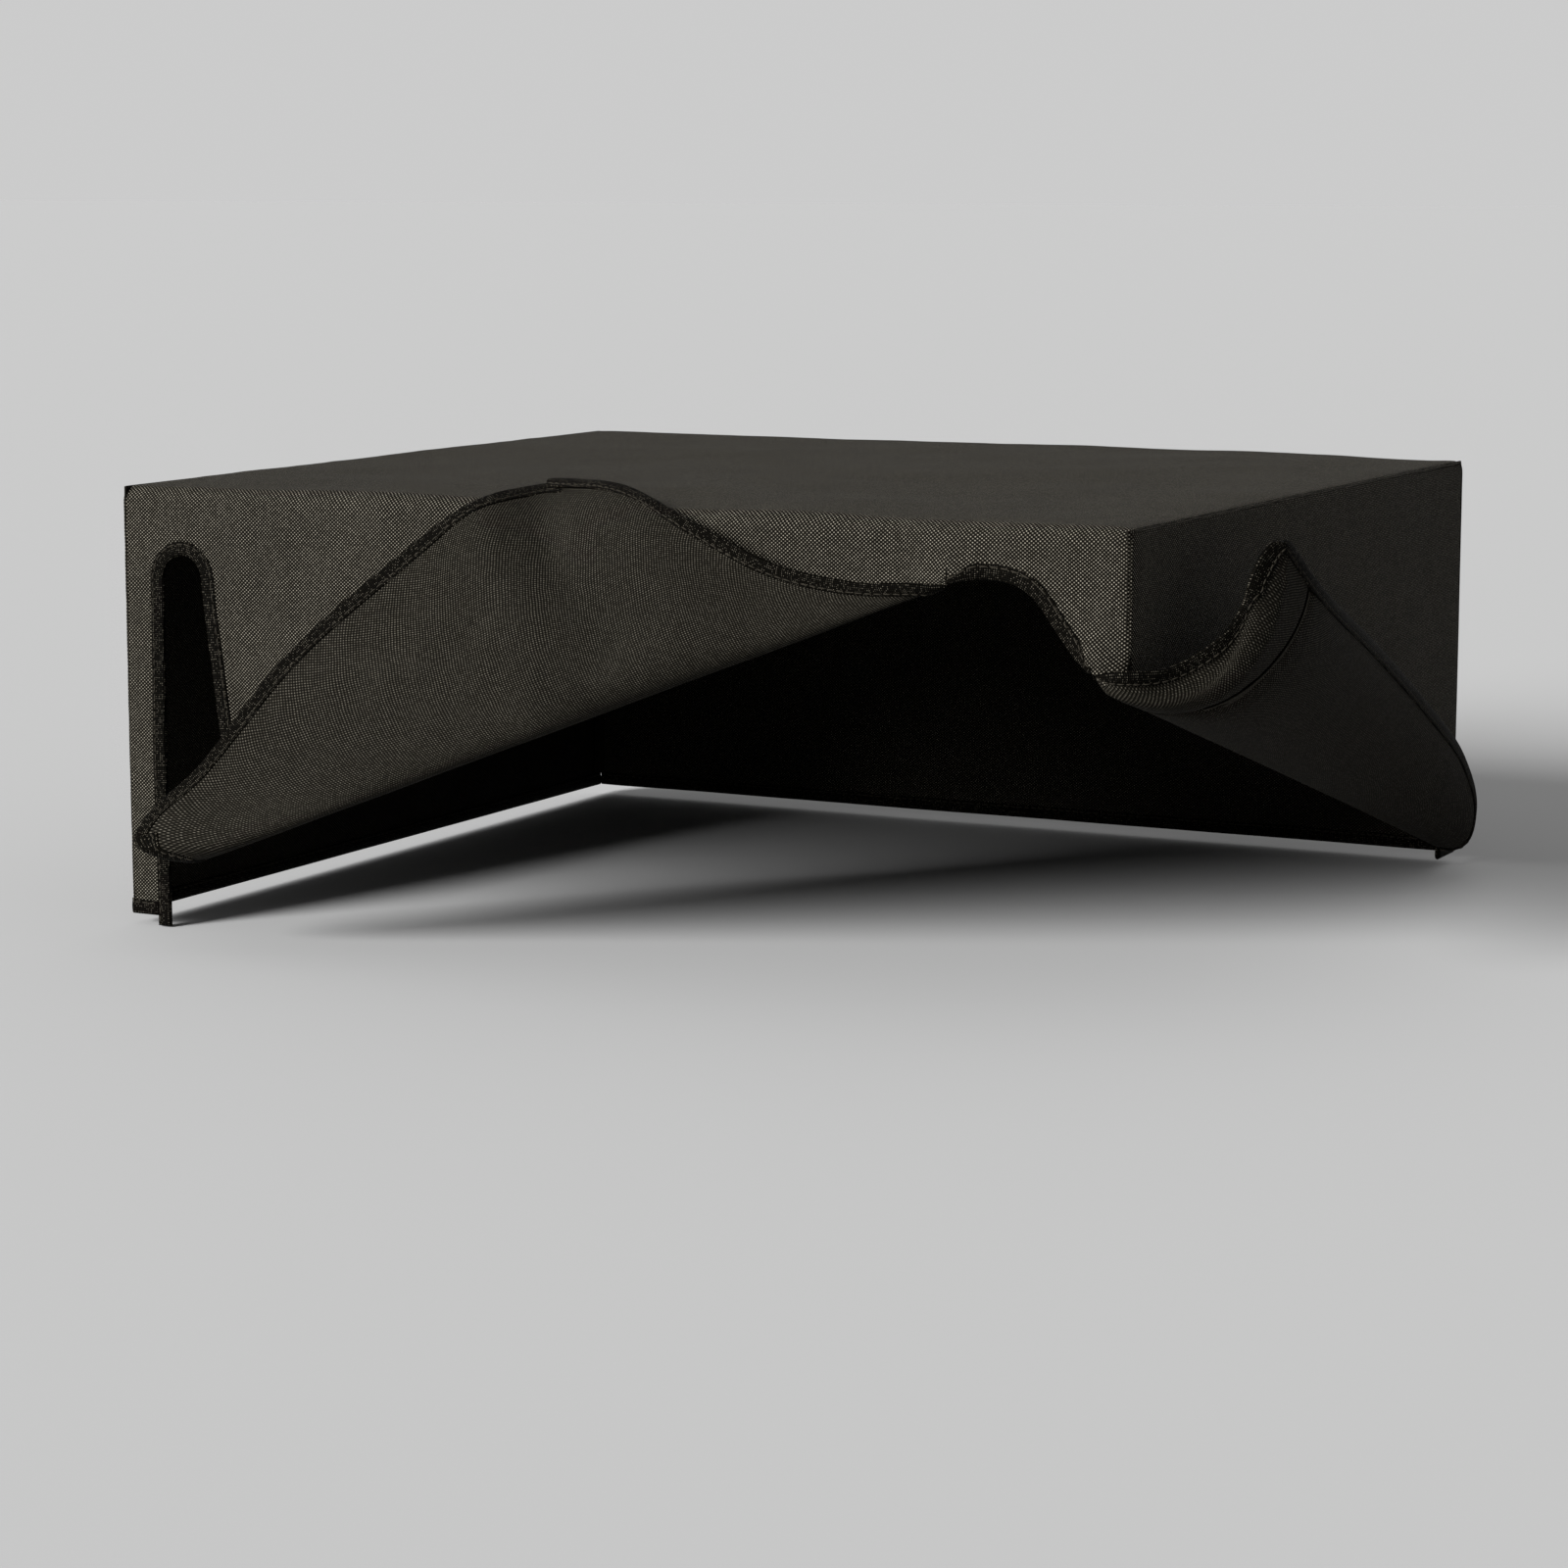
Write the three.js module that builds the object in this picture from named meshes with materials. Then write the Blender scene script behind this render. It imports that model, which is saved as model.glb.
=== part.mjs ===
// Soft dust cover for a desktop printer: a sewn box of woven cloth with bound edges and two slots in
// its front. The lower corner of the front flap and the lower front corner of the right side are turned up.
// Millimetres, +Z up, front towards -Y. The origin is under the middle of the top, where the lid bears.
import * as THREE from 'three';

const WIDTH = 400;
const DEPTH = 355;
const HEIGHT = 160;
// Thickness of the cloth, of the tape folded over its edge, and of a seam margin.
const CLOTH = 1.1;
const TAPE = 2.0;
const MARGIN = 0.9;
const TAPE_WIDTH = 5.5;
const MARGIN_WIDTH = 8;
const GAP = 0.3;
// Radius of the soft creases at the top's front and back edges.
const CREASE = 6;
// The turned-up side corner is sewn from two pieces, with the seam this far from its slot edge.
const STRIP_WIDTH = 25;
// Cloth kept back from each fold line.
const FOLD_CLEAR = 0.9;
const HALF_W = WIDTH / 2;
const HALF_D = DEPTH / 2;
const ORIGIN_LIFT = CLOTH - HEIGHT;

// Left slot: a round-topped opening. The tape on its left edge runs past the hem by its tail.
const LEFT_SLOT = { x: -173, z: 126.5, radius: 8.5 };
const TAPE_TAIL = 3.5;

// Turned-up corner of the front flap: its fold, and its hem and slot edge from the fold to the corner's tip.
// Heights are measured from the hem.
const FLAP_FOLD = [[-143, -214, 29.5], [137, -182, 139.2]];
const FLAP_HEM = [
  [-143, -214, 29.5], [-155, -220, 31], [-164.5, -222, 36], [-161, -217, 47], [-147, -208, 62],
  [-115, -198, 103], [-79, -190, 135], [-44, -184, 160], [-26, -160, 166.5],
];
const FLAP_SLOT = [
  [-26, -160, 166.5], [10, -172, 166.5], [40, -184, 158], [63, -188, 149],
  [78, -188, 143.5], [105, -188, 139.5], [126, -186, 139.7], [137, -182, 139.2],
];
// Where the flap leaves the plane of the front, in x and z, and how its left edge hangs.
const FLAP_ROOT = [[-164.5, 125.9], [136, 145.5]];
const FLAP_LEFT_FOOT = [-153, -201, 30.5];
const FLAP_LEFT_REACH = 14;
const FLAP_LEFT_BOW = 15;

// Turned-up corner of the right side. Its fold runs round the corner of the box from the front.
const SIDE_FOLD = [[203, -165, 98.7], [204, 150, 5.6]];
const SIDE_FOLD_LEAD = [[189, -181.5, 112], [194.5, -185, 107.5], [201.5, -179.5, 103.2]];
const SIDE_SLOT = [
  [189, -181.5, 112], [194.4, -184, 113.6], [201.4, -185, 114.7], [206.7, -180, 114.4], [211.7, -172, 115.2],
  [217, -164, 118.5], [222, -157, 123.2], [225, -151, 128.5], [227, -147, 134.5], [228, -144.5, 141],
  [229.5, -141, 148], [231.5, -137, 152.7], [235, -131, 156],
];
const SIDE_HEM = [
  [235, -131, 156], [238, -102, 136], [235, -36, 110], [230, 37, 81],
  [223, 110, 50], [218, 143, 26], [213, 150, 12], [204, 150, 5.6],
];

// Right slot: edge of the opening, from the flap's fold to the side corner's fold, then to the box's corner.
const RIGHT_ARCH = [
  [137.6, 139.6], [144, 140.9], [150, 141], [156, 140.2], [161.5, 138.3],
  [166, 134.8], [170, 129.8], [175, 123], [180, 117.5], [185.5, 113.6],
];
const FRONT_CORNER_FOOT = 109;

const cloth = new THREE.MeshStandardMaterial({ color: 0x3c3932, roughness: 0.85 });
const binding = new THREE.MeshStandardMaterial({ color: 0x19140c, roughness: 0.8 });
const group = new THREE.Group();

const point = (p) => new THREE.Vector3(...p);
const mix = THREE.MathUtils.lerp;
const curve = (points) => new THREE.CatmullRomCurve3(points.map(point), false, 'centripetal');

function spread(count, from, to) {
  return Array.from({ length: count + 1 }, (_, i) => mix(from, to, i / count));
}

// A closed sheet of even thickness on surface(u, v), sampled at the given values of u and v.
function sheet(name, material, thickness, us, vs, surface) {
  const rows = us.map((u) => vs.map((v) => surface(u, v)));
  const at = (i, j) => rows[i][j];
  const corners = [];
  const clampI = (i) => Math.min(Math.max(i, 0), us.length - 1);
  const clampJ = (j) => Math.min(Math.max(j, 0), vs.length - 1);
  for (let i = 0; i < us.length; i += 1) {
    for (let j = 0; j < vs.length; j += 1) {
      const du = at(clampI(i + 1), j).clone().sub(at(clampI(i - 1), j));
      const dv = at(i, clampJ(j + 1)).clone().sub(at(i, clampJ(j - 1)));
      const normal = du.cross(dv).normalize().multiplyScalar(thickness / 2);
      corners.push(at(i, j).clone().add(normal), at(i, j).clone().sub(normal));
    }
  }
  const id = (i, j, side) => 2 * (i * vs.length + j) + side;
  const index = [];
  const quad = (a, b, c, d) => index.push(a, b, c, a, c, d);
  for (let i = 0; i + 1 < us.length; i += 1) {
    for (let j = 0; j + 1 < vs.length; j += 1) {
      quad(id(i, j, 0), id(i + 1, j, 0), id(i + 1, j + 1, 0), id(i, j + 1, 0));
      quad(id(i, j, 1), id(i, j + 1, 1), id(i + 1, j + 1, 1), id(i + 1, j, 1));
    }
  }
  const lastI = us.length - 1;
  const lastJ = vs.length - 1;
  for (let i = 0; i < lastI; i += 1) {
    quad(id(i, 0, 0), id(i, 0, 1), id(i + 1, 0, 1), id(i + 1, 0, 0));
    quad(id(i, lastJ, 0), id(i + 1, lastJ, 0), id(i + 1, lastJ, 1), id(i, lastJ, 1));
  }
  for (let j = 0; j < lastJ; j += 1) {
    quad(id(0, j, 0), id(0, j + 1, 0), id(0, j + 1, 1), id(0, j, 1));
    quad(id(lastI, j, 0), id(lastI, j, 1), id(lastI, j + 1, 1), id(lastI, j + 1, 0));
  }
  const geometry = new THREE.BufferGeometry();
  const flat = corners.flatMap((p) => [p.x, p.y, p.z + ORIGIN_LIFT]);
  geometry.setAttribute('position', new THREE.Float32BufferAttribute(flat, 3));
  geometry.setIndex(index);
  if (volume(corners, index) < 0) geometry.setIndex(index.slice().reverse());
  const mesh = new THREE.Mesh(geometry, material);
  mesh.name = name;
  group.add(mesh);
}

const clothSheet = (name, us, vs, surface) => sheet(name, cloth, CLOTH, us, vs, surface);
const tapeSheet = (name, us, vs, surface) => sheet(name, binding, TAPE, us, vs, surface);
const marginSheet = (name, us, vs, surface) => sheet(name, cloth, MARGIN, us, vs, surface);

function volume(corners, index) {
  let total = 0;
  for (let k = 0; k < index.length; k += 3) {
    const [a, b, c] = [0, 1, 2].map((n) => corners[index[k + n]]);
    total += a.dot(b.clone().cross(c));
  }
  return total / 6;
}

// Mid-surfaces of the box's walls. Tape lies on them too, so it stands proud of the cloth on both faces.
const frontMid = (x, z) => new THREE.Vector3(x, CLOTH / 2 - HALF_D, z);
const backMid = (x, z) => new THREE.Vector3(x, HALF_D - CLOTH / 2, z);
const leftMid = (y, z) => new THREE.Vector3(CLOTH / 2 - HALF_W, y, z);
const rightMid = (y, z) => new THREE.Vector3(HALF_W - CLOTH / 2, y, z);

const INNER = TAPE_WIDTH + GAP;
const EDGE_X = HALF_W - CLOTH - GAP;
const BEND = HEIGHT - CREASE;

// ---- Top, with the soft creases at its front and back edges ----
function overTop(x, s) {
  const radius = CREASE - CLOTH / 2;
  const quarter = (radius * Math.PI) / 2;
  const run = DEPTH - 2 * CREASE;
  if (s < quarter) {
    const turn = s / radius;
    return new THREE.Vector3(x, -HALF_D + CREASE - radius * Math.cos(turn), BEND + radius * Math.sin(turn));
  }
  if (s < quarter + run) {
    return new THREE.Vector3(x, -HALF_D + CREASE + s - quarter, HEIGHT - CLOTH / 2);
  }
  const turn = (s - quarter - run) / radius;
  return new THREE.Vector3(x, HALF_D - CREASE + radius * Math.sin(turn), BEND + radius * Math.cos(turn));
}
const TOP_ARC = ((CREASE - CLOTH / 2) * Math.PI) / 2;
const TOP_RUN = TOP_ARC + DEPTH - 2 * CREASE;
const topStations = [
  ...spread(4, 0, TOP_ARC),
  ...spread(6, TOP_ARC, TOP_RUN).slice(1),
  ...spread(4, TOP_RUN, TOP_RUN + TOP_ARC).slice(1),
];
clothSheet('top_panel', spread(6, -EDGE_X, EDGE_X), topStations, overTop);

// ---- Front: the header above the slots, and the strip left of the left slot ----
const archCurve = curve(RIGHT_ARCH.map(([x, z]) => [x, 0, z]));
// A point on the right slot's edge, as x and z, moved into the cloth by "inward".
const archPoint = (s, inward) => {
  const p = archCurve.getPointAt(s);
  const t = archCurve.getTangentAt(s);
  return [p.x - t.z * inward, p.z + t.x * inward];
};
const archSamples = spread(60, 0, 1).map((s) => archPoint(s, INNER));
const slotReach = LEFT_SLOT.radius + INNER;
// Height of the header's lower edge: the left strip, round the left slot, the flap's root, the right slot,
// and behind the start of the turned-up side corner.
function headerFoot(x) {
  const [rootA, rootB] = FLAP_ROOT;
  const fromSlot = x - LEFT_SLOT.x;
  if (fromSlot < -slotReach) return LEFT_SLOT.z;
  if (fromSlot < slotReach) return LEFT_SLOT.z + Math.sqrt(slotReach ** 2 - fromSlot ** 2);
  if (x < rootB[0]) return GAP + mix(rootA[1], rootB[1], (x - rootA[0]) / (rootB[0] - rootA[0]));
  const after = archSamples.findIndex((sample) => sample[0] >= x);
  if (after < 0) {
    const [endX, endZ] = archSamples.at(-1);
    return mix(endZ, FRONT_CORNER_FOOT, (x - endX) / (EDGE_X - endX));
  }
  if (after === 0) return archSamples[0][1];
  const [x0, z0] = archSamples[after - 1];
  const [x1, z1] = archSamples[after];
  return mix(z0, z1, (x - x0) / (x1 - x0));
}
const slotStations = spread(10, 0.999 * Math.PI, 0.001 * Math.PI)
  .map((a) => LEFT_SLOT.x + slotReach * Math.cos(a));
const headerStations = [
  -EDGE_X, ...slotStations, -158.4, -100, -40, 20, 80, ...spread(16, FLAP_ROOT[1][0] - 0.1, EDGE_X),
];
clothSheet('front_header', headerStations, [0, 0.5, 1],
  (x, v) => frontMid(x, mix(BEND - GAP, headerFoot(x), v)));

const stripEdge = LEFT_SLOT.x - LEFT_SLOT.radius;
clothSheet('left_strip', [-EDGE_X, stripEdge - INNER], spread(4, INNER, LEFT_SLOT.z - GAP), frontMid);
tapeSheet('left_strip_slot_tape', [stripEdge - TAPE_WIDTH, stripEdge],
  spread(4, -TAPE_TAIL, LEFT_SLOT.z - GAP), frontMid);
tapeSheet('left_strip_hem_tape', [-EDGE_X, stripEdge - INNER], [0, TAPE_WIDTH], frontMid);
tapeSheet('left_slot_arch_tape', spread(16, Math.PI, 0), [0, TAPE_WIDTH], (a, v) => {
  const r = LEFT_SLOT.radius + v;
  return frontMid(LEFT_SLOT.x + r * Math.cos(a), LEFT_SLOT.z + r * Math.sin(a));
});
tapeSheet('right_slot_arch_tape', spread(28, 0, 1), [0, TAPE_WIDTH], (s, v) => frontMid(...archPoint(s, v)));

// ---- Front flap: bulges forward from the header to the fold ----
const cubic = (a, b, c, d, t) => a.clone().multiplyScalar((1 - t) ** 3)
  .addScaledVector(b, 3 * t * (1 - t) ** 2)
  .addScaledVector(c, 3 * t * t * (1 - t))
  .addScaledVector(d, t ** 3);
// A point held off a surface by a distance along its normal.
function raised(surface, u, v, distance) {
  const at = surface(u, v);
  const du = surface(u + 0.5, v).sub(surface(u - 0.5, v));
  const dv = surface(u, v + 0.5).sub(surface(u, v - 0.5));
  return at.addScaledVector(du.cross(dv).normalize(), distance);
}
const shifted = (p, x, y, z) => new THREE.Vector3(p.x + x, p.y + y, p.z + z);

const flapSpan = FLAP_ROOT[1][0] - FLAP_ROOT[0][0];

// u runs along the root from the left slot, v down to the foot: a short piece of hem, then the fold.
function flapSurface(u, v) {
  const f = u / flapSpan;
  const root = new THREE.Vector3(
    mix(FLAP_ROOT[0][0], FLAP_ROOT[1][0], f), -HALF_D + CLOTH / 2, mix(FLAP_ROOT[0][1], FLAP_ROOT[1][1], f),
  );
  const start = point(FLAP_FOLD[0]);
  const foot = u < FLAP_LEFT_REACH
    ? point(FLAP_LEFT_FOOT).lerp(start, u / FLAP_LEFT_REACH)
    : start.lerp(point(FLAP_FOLD[1]), (u - FLAP_LEFT_REACH) / (flapSpan - FLAP_LEFT_REACH));
  const drop = root.z - foot.z;
  const reach = root.y - foot.y;
  const wrap = THREE.MathUtils.smoothstep(u, 0, FLAP_LEFT_REACH);
  const bow = FLAP_LEFT_BOW * (1 - THREE.MathUtils.smoothstep(u, 0, 70));
  const c1 = shifted(root, 0.3 * bow, 0, -0.5 * drop);
  const c2 = shifted(foot, 1.6 * bow, 0.6 * reach * wrap, 0.12 * drop);
  return cubic(root, c1, c2, foot, v);
}
const flapDepth = (u) => Math.max(flapSurface(u, 0).distanceTo(flapSurface(u, 1)), 1);
const flapFoot = (u) => 1 - FOLD_CLEAR / flapDepth(u);
const hemTop = (u) => 1 - INNER / flapDepth(u);
const flapStations = [
  INNER + 0.6, ...spread(2, 9, FLAP_LEFT_REACH - 0.5), ...spread(20, FLAP_LEFT_REACH + 0.5, flapSpan - 0.3),
];
clothSheet('front_flap', flapStations, spread(12, 0, 1),
  (u, v) => flapSurface(u, v * (u < FLAP_LEFT_REACH ? hemTop(u) : flapFoot(u))));
tapeSheet('front_flap_slot_tape', [0, TAPE_WIDTH], spread(12, 0, 1), flapSurface);
tapeSheet('front_flap_hem_tape', spread(3, INNER, FLAP_LEFT_REACH - 1), [0, 1],
  (u, v) => flapSurface(u, mix(hemTop(u) + GAP / flapDepth(u), 1, v)));

// ---- A turned-up corner: a cloth triangle between its fold, its hem and its slot edge ----
// It is right-angled at its tip. "along" runs on the fold from the hem's end, "above" is the height over it.
function turnedCorner({ fold, hem, slot, out, reach, end }) {
  const foldCurve = curve(fold);
  const hemCurve = curve(hem);
  const slotCurve = curve(slot);
  const hemLength = hemCurve.getLength();
  const slotLength = slotCurve.getLength();
  const length = Math.hypot(hemLength, slotLength);
  const [sinHem, cosHem] = [slotLength / length, hemLength / length];
  const tipAlong = hemLength * cosHem;
  const depthAt = (along) => Math.max(1e-6, along < tipAlong
    ? (along * sinHem) / cosHem
    : ((length - along) * cosHem) / sinHem);
  const rim = (along) => (along < tipAlong
    ? hemCurve.getPointAt(Math.max(along / tipAlong, 0))
    : slotCurve.getPointAt(Math.min((along - tipAlong) / (length - tipAlong), 1)));
  const surface = (along, above) => {
    const root = foldCurve.getPointAt(THREE.MathUtils.clamp(along / length, 0, 1));
    const edge = rim(along);
    const size = Math.max(root.distanceTo(edge), 1e-6);
    const c1 = root.clone().addScaledVector(out, size * reach);
    const c2 = edge.clone().add(end(edge, size));
    const roll = new THREE.CubicBezierCurve3(root, c1, c2, edge);
    roll.arcLengthDivisions = 40;
    return roll.getPointAt(THREE.MathUtils.clamp(above / depthAt(along), 0, 1));
  };

  // The place that is "inward" of a place on the rim, measured on the cloth and square to the rim.
  const squareIn = (start, side, inward) => {
    const here = rim(start);
    const du = rim(start - side).sub(here).multiplyScalar(-side);
    const dv = surface(start, depthAt(start) - 3).sub(here).divideScalar(3);
    const square = dv.clone().projectOnPlane(du.clone().normalize()).normalize();
    const [uu, uv, vv] = [du.dot(du), du.dot(dv), dv.dot(dv)];
    const scale = (inward * square.dot(dv)) / (uu * vv - uv * uv);
    const along = start - uv * scale;
    return { along, above: depthAt(along) - uu * scale };
  };
  // Places by distance from the fold along the hem or the slot edge, and inward from that edge.
  const onHem = (e, inward) => squareIn(e * cosHem, 1, inward);
  const onSlot = (e, inward) => squareIn(length - e * sinHem, -1, inward);
  const flatSlot = (e, inward) => ({
    along: length - e * sinHem - inward * cosHem,
    above: e * cosHem - inward * sinHem,
  });
  return { surface, onHem, onSlot, flatSlot, hemLength, slotLength, length, sinHem, cosHem };
}

// The first distance along an edge at which a band this wide is clear of the fold.
function firstClear(on, reach, inward) {
  let [low, high] = [0, reach / 2];
  for (let i = 0; i < 14; i += 1) {
    const middle = (low + high) / 2;
    if (on(middle, inward).above < FOLD_CLEAR) low = middle;
    else high = middle;
  }
  return high;
}

// Height above the fold of a line of places, with the heights to use before its start and past its end.
function readLine(line, x, before, past) {
  if (x < line[0].along) return before;
  const after = line.findIndex((place) => place.along >= x);
  if (after < 1) return past;
  const [a, b] = [line[after - 1], line[after]];
  return mix(a.above, b.above, (x - a.along) / (b.along - a.along));
}

// With a seam, the cloth is two pieces sewn together at that distance from the slot edge.
function turnedNodes(prefix, corner, seam) {
  const { surface, onHem, onSlot, flatSlot, hemLength, slotLength, length } = corner;
  const inset = INNER + 0.9;
  const lineOn = (on, from, to, inward) => spread(60, from, to).map((e) => on(e, inward));
  const hemLine = lineOn(onHem, firstClear(onHem, hemLength, inset), hemLength - inset / 2, inset);
  const [onEdge, slotIn] = seam ? [flatSlot, seam + GAP] : [onSlot, inset];
  const slotLine = lineOn(onEdge, slotLength, firstClear(onEdge, slotLength, slotIn), slotIn);
  const depth = (along) => Math.min(
    readLine(hemLine, along, 0, Infinity), readLine(slotLine, along, Infinity, 0),
  );
  const deep = spread(400, 0, length).filter((along) => depth(along) > 3.5);
  const meet = deep.reduce((best, along) => (depth(along) > depth(best) ? along : best));
  const stations = [...spread(20, deep[0], meet), ...spread(14, meet, deep.at(-1)).slice(1)];
  clothSheet(`${prefix}_turned`, stations, spread(12, 0, 1),
    (along, v) => surface(along, mix(FOLD_CLEAR, depth(along), v)));

  const bandPlace = (on, inward, end, f) => on(mix(firstClear(on, end, inward), end, f), inward);
  const band = (name, on, end) => tapeSheet(name, spread(28, 0, 1), [0, TAPE_WIDTH], (f, inward) => {
    const { along, above } = bandPlace(on, inward, end, f);
    return surface(along, above);
  });
  band(`${prefix}_hem_tape`, onHem, hemLength - inset);
  band(`${prefix}_slot_tape`, onSlot, slotLength);
  if (!seam) return;
  clothSheet(`${prefix}_strip_turned`, spread(28, 0, 1), spread(3, 0, 1), (f, v) => {
    const share = mix(0.07, 1, f);
    const a = bandPlace(onSlot, inset, slotLength - inset, share);
    const b = bandPlace(flatSlot, seam, slotLength - inset, share);
    return surface(mix(a.along, b.along, v), mix(a.above, b.above, v));
  });
}

const flapCorner = turnedCorner({
  fold: FLAP_FOLD, hem: FLAP_HEM, slot: FLAP_SLOT, out: new THREE.Vector3(0, -1, -0.2), reach: 0.3,
  // the sheet leans on the front, and lies back over the top crease towards the tip
  end: (edge, size) => {
    const over = THREE.MathUtils.smoothstep(edge.z, 146, 168);
    return new THREE.Vector3(0, -mix(0.06, 0.38, over) * size, mix(-0.35, 0.03, over) * size);
  },
});
turnedNodes('flap_corner', flapCorner);

const sideCorner = turnedCorner({
  fold: [...SIDE_FOLD_LEAD, ...SIDE_FOLD].reverse(),
  hem: [...SIDE_HEM].reverse(),
  slot: [...SIDE_SLOT].reverse(),
  out: new THREE.Vector3(1, 0, -0.2), reach: 0.4,
  end: (edge, size) => new THREE.Vector3(0.06 * size, 0, -0.4 * size),
});
turnedNodes('side_corner', sideCorner, STRIP_WIDTH);
const seamFace = CLOTH / 2 + MARGIN / 2 + GAP;
const sideSeam = (e, inward) => {
  const { along, above } = sideCorner.flatSlot(e, inward);
  return sideCorner.surface(along, above);
};
marginSheet('side_corner_seam_margin', spread(20, 26, sideCorner.slotLength - INNER - 1),
  spread(2, STRIP_WIDTH + 0.6, STRIP_WIDTH + MARGIN_WIDTH),
  (e, inward) => raised(sideSeam, e, inward, seamFace));

// ---- Sides and back ----
const seamZ = HEIGHT - CLOTH - GAP;
clothSheet('left_side_panel', spread(4, -HALF_D + CLOTH / 2, HALF_D - CLOTH / 2),
  spread(3, INNER, seamZ), leftMid);
tapeSheet('left_side_hem_tape', spread(4, -HALF_D + TAPE, HALF_D - TAPE), [0, TAPE_WIDTH], leftMid);
clothSheet('back_panel', spread(4, -EDGE_X, EDGE_X), spread(3, INNER, BEND - GAP), backMid);
tapeSheet('back_hem_tape', spread(4, -EDGE_X, EDGE_X), [0, TAPE_WIDTH], backMid);

function rightSide(y, v) {
  const top = rightMid(y, seamZ);
  const [a, b] = SIDE_FOLD;
  const f = Math.min((y - a[1]) / (b[1] - a[1]), 1);
  const past = THREE.MathUtils.clamp((y - b[1]) / 14, 0, 1);
  const footZ = Math.max(mix(a[2], b[2], f), INNER);
  const foot = new THREE.Vector3(mix(mix(a[0], b[0], f), top.x, past), y, footZ);
  const bend = shifted(top, 0, 0, foot.z + 14 - top.z);
  if (v < 0.5) return top.lerp(bend, 2 * v);
  const t = 2 * v - 1;
  const corner = new THREE.Vector3(top.x, y, foot.z + 3);
  return cubic(bend, bend.clone().lerp(corner, 0.7), foot.clone().lerp(corner, 0.6), foot, t);
}
clothSheet('right_side_panel',
  [...spread(12, -HALF_D + CLOTH / 2, SIDE_FOLD[1][1]), 157, 164, HALF_D - CLOTH / 2],
  [0, 0.25, 0.5, 0.6, 0.7, 0.8, 0.9, 0.96], rightSide);
tapeSheet('right_side_hem_tape', [SIDE_FOLD[1][1] + 5, 164, HALF_D - TAPE], [0, TAPE_WIDTH],
  (y, z) => shifted(rightMid(y, z), 0, 0, -0.4));

// ---- Seam margins: the sewn edges of the panels, laid flat inside ----
const insideTop = HEIGHT - CLOTH - GAP - MARGIN / 2;
const insideSide = EDGE_X - GAP - MARGIN / 2;
const topMargin = (sign) => (across, y) => new THREE.Vector3(
  sign * (insideSide - MARGIN - across), y, insideTop,
);
const cornerMargin = (signX, signY) => (across, z) => new THREE.Vector3(
  signX * insideSide, signY * (HALF_D - CLOTH - GAP - across), z,
);
const marginTop = BEND - 6;
const marginFoot = TAPE_WIDTH + 1;
for (const [side, sign] of [['left', -1], ['right', 1]]) {
  marginSheet(`top_${side}_seam_margin`, [0, MARGIN_WIDTH],
    spread(4, 12 - HALF_D, HALF_D - 12), topMargin(sign));
  marginSheet(`back_${side}_seam_margin`, [0, MARGIN_WIDTH], [marginFoot, marginTop], cornerMargin(sign, 1));
}
marginSheet('front_left_seam_margin', [0, MARGIN_WIDTH], [marginFoot, marginTop], cornerMargin(-1, -1));
marginSheet('front_right_seam_margin', [0, MARGIN_WIDTH], [124, marginTop], cornerMargin(1, -1));

export default group;
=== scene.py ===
"""Soft dust cover for a desktop printer: the looks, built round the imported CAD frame.

Shapes are worked out in millimetres with heights from the cover's hem, as in the CAD source, and turned
into metres in the row frame as each mesh is made.
"""
import math

import bpy
import numpy as np
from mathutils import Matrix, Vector, noise


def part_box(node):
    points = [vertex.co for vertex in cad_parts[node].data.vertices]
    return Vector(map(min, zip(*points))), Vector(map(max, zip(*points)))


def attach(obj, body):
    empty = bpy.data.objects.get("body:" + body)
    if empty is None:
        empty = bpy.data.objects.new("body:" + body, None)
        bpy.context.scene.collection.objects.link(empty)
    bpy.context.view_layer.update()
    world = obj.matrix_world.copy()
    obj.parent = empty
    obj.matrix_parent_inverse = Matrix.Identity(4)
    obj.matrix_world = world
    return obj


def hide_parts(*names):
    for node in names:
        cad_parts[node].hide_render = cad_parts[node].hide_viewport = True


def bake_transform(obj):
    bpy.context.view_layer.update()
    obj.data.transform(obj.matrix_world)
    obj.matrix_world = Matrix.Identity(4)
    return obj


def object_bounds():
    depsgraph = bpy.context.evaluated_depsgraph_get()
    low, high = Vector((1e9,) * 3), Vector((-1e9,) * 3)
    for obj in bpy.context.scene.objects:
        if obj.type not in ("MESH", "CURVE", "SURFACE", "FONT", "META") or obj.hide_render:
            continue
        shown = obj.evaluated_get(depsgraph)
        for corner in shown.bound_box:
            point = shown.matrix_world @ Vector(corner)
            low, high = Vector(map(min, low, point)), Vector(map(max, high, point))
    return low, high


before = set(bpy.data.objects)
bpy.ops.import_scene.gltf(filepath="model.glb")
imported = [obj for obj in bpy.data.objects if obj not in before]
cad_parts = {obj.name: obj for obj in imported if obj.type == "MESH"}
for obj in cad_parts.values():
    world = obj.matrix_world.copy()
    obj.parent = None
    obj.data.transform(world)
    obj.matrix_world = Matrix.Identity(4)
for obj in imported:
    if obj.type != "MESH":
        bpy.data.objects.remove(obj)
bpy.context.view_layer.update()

MM = 0.001
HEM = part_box("back_hem_tape")[0].z / MM
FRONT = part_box("front_header")[0].y / MM
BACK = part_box("back_panel")[1].y / MM
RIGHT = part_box("left_side_panel")[0].x / -MM
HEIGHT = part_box("top_panel")[1].z / MM - HEM
# Thickness of the CAD's cloth and of the cloth shown, width of the tape, radius of the top's creases.
CLOTH = 1.1
SHOWN_CLOTH = 0.8
TAPE_WIDTH = 5.5
CREASE = 6.0
BEND = HEIGHT - CREASE
MID_FRONT = FRONT + CLOTH / 2
MID_BACK = BACK - CLOTH / 2
MID_RIGHT = RIGHT - CLOTH / 2
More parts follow.
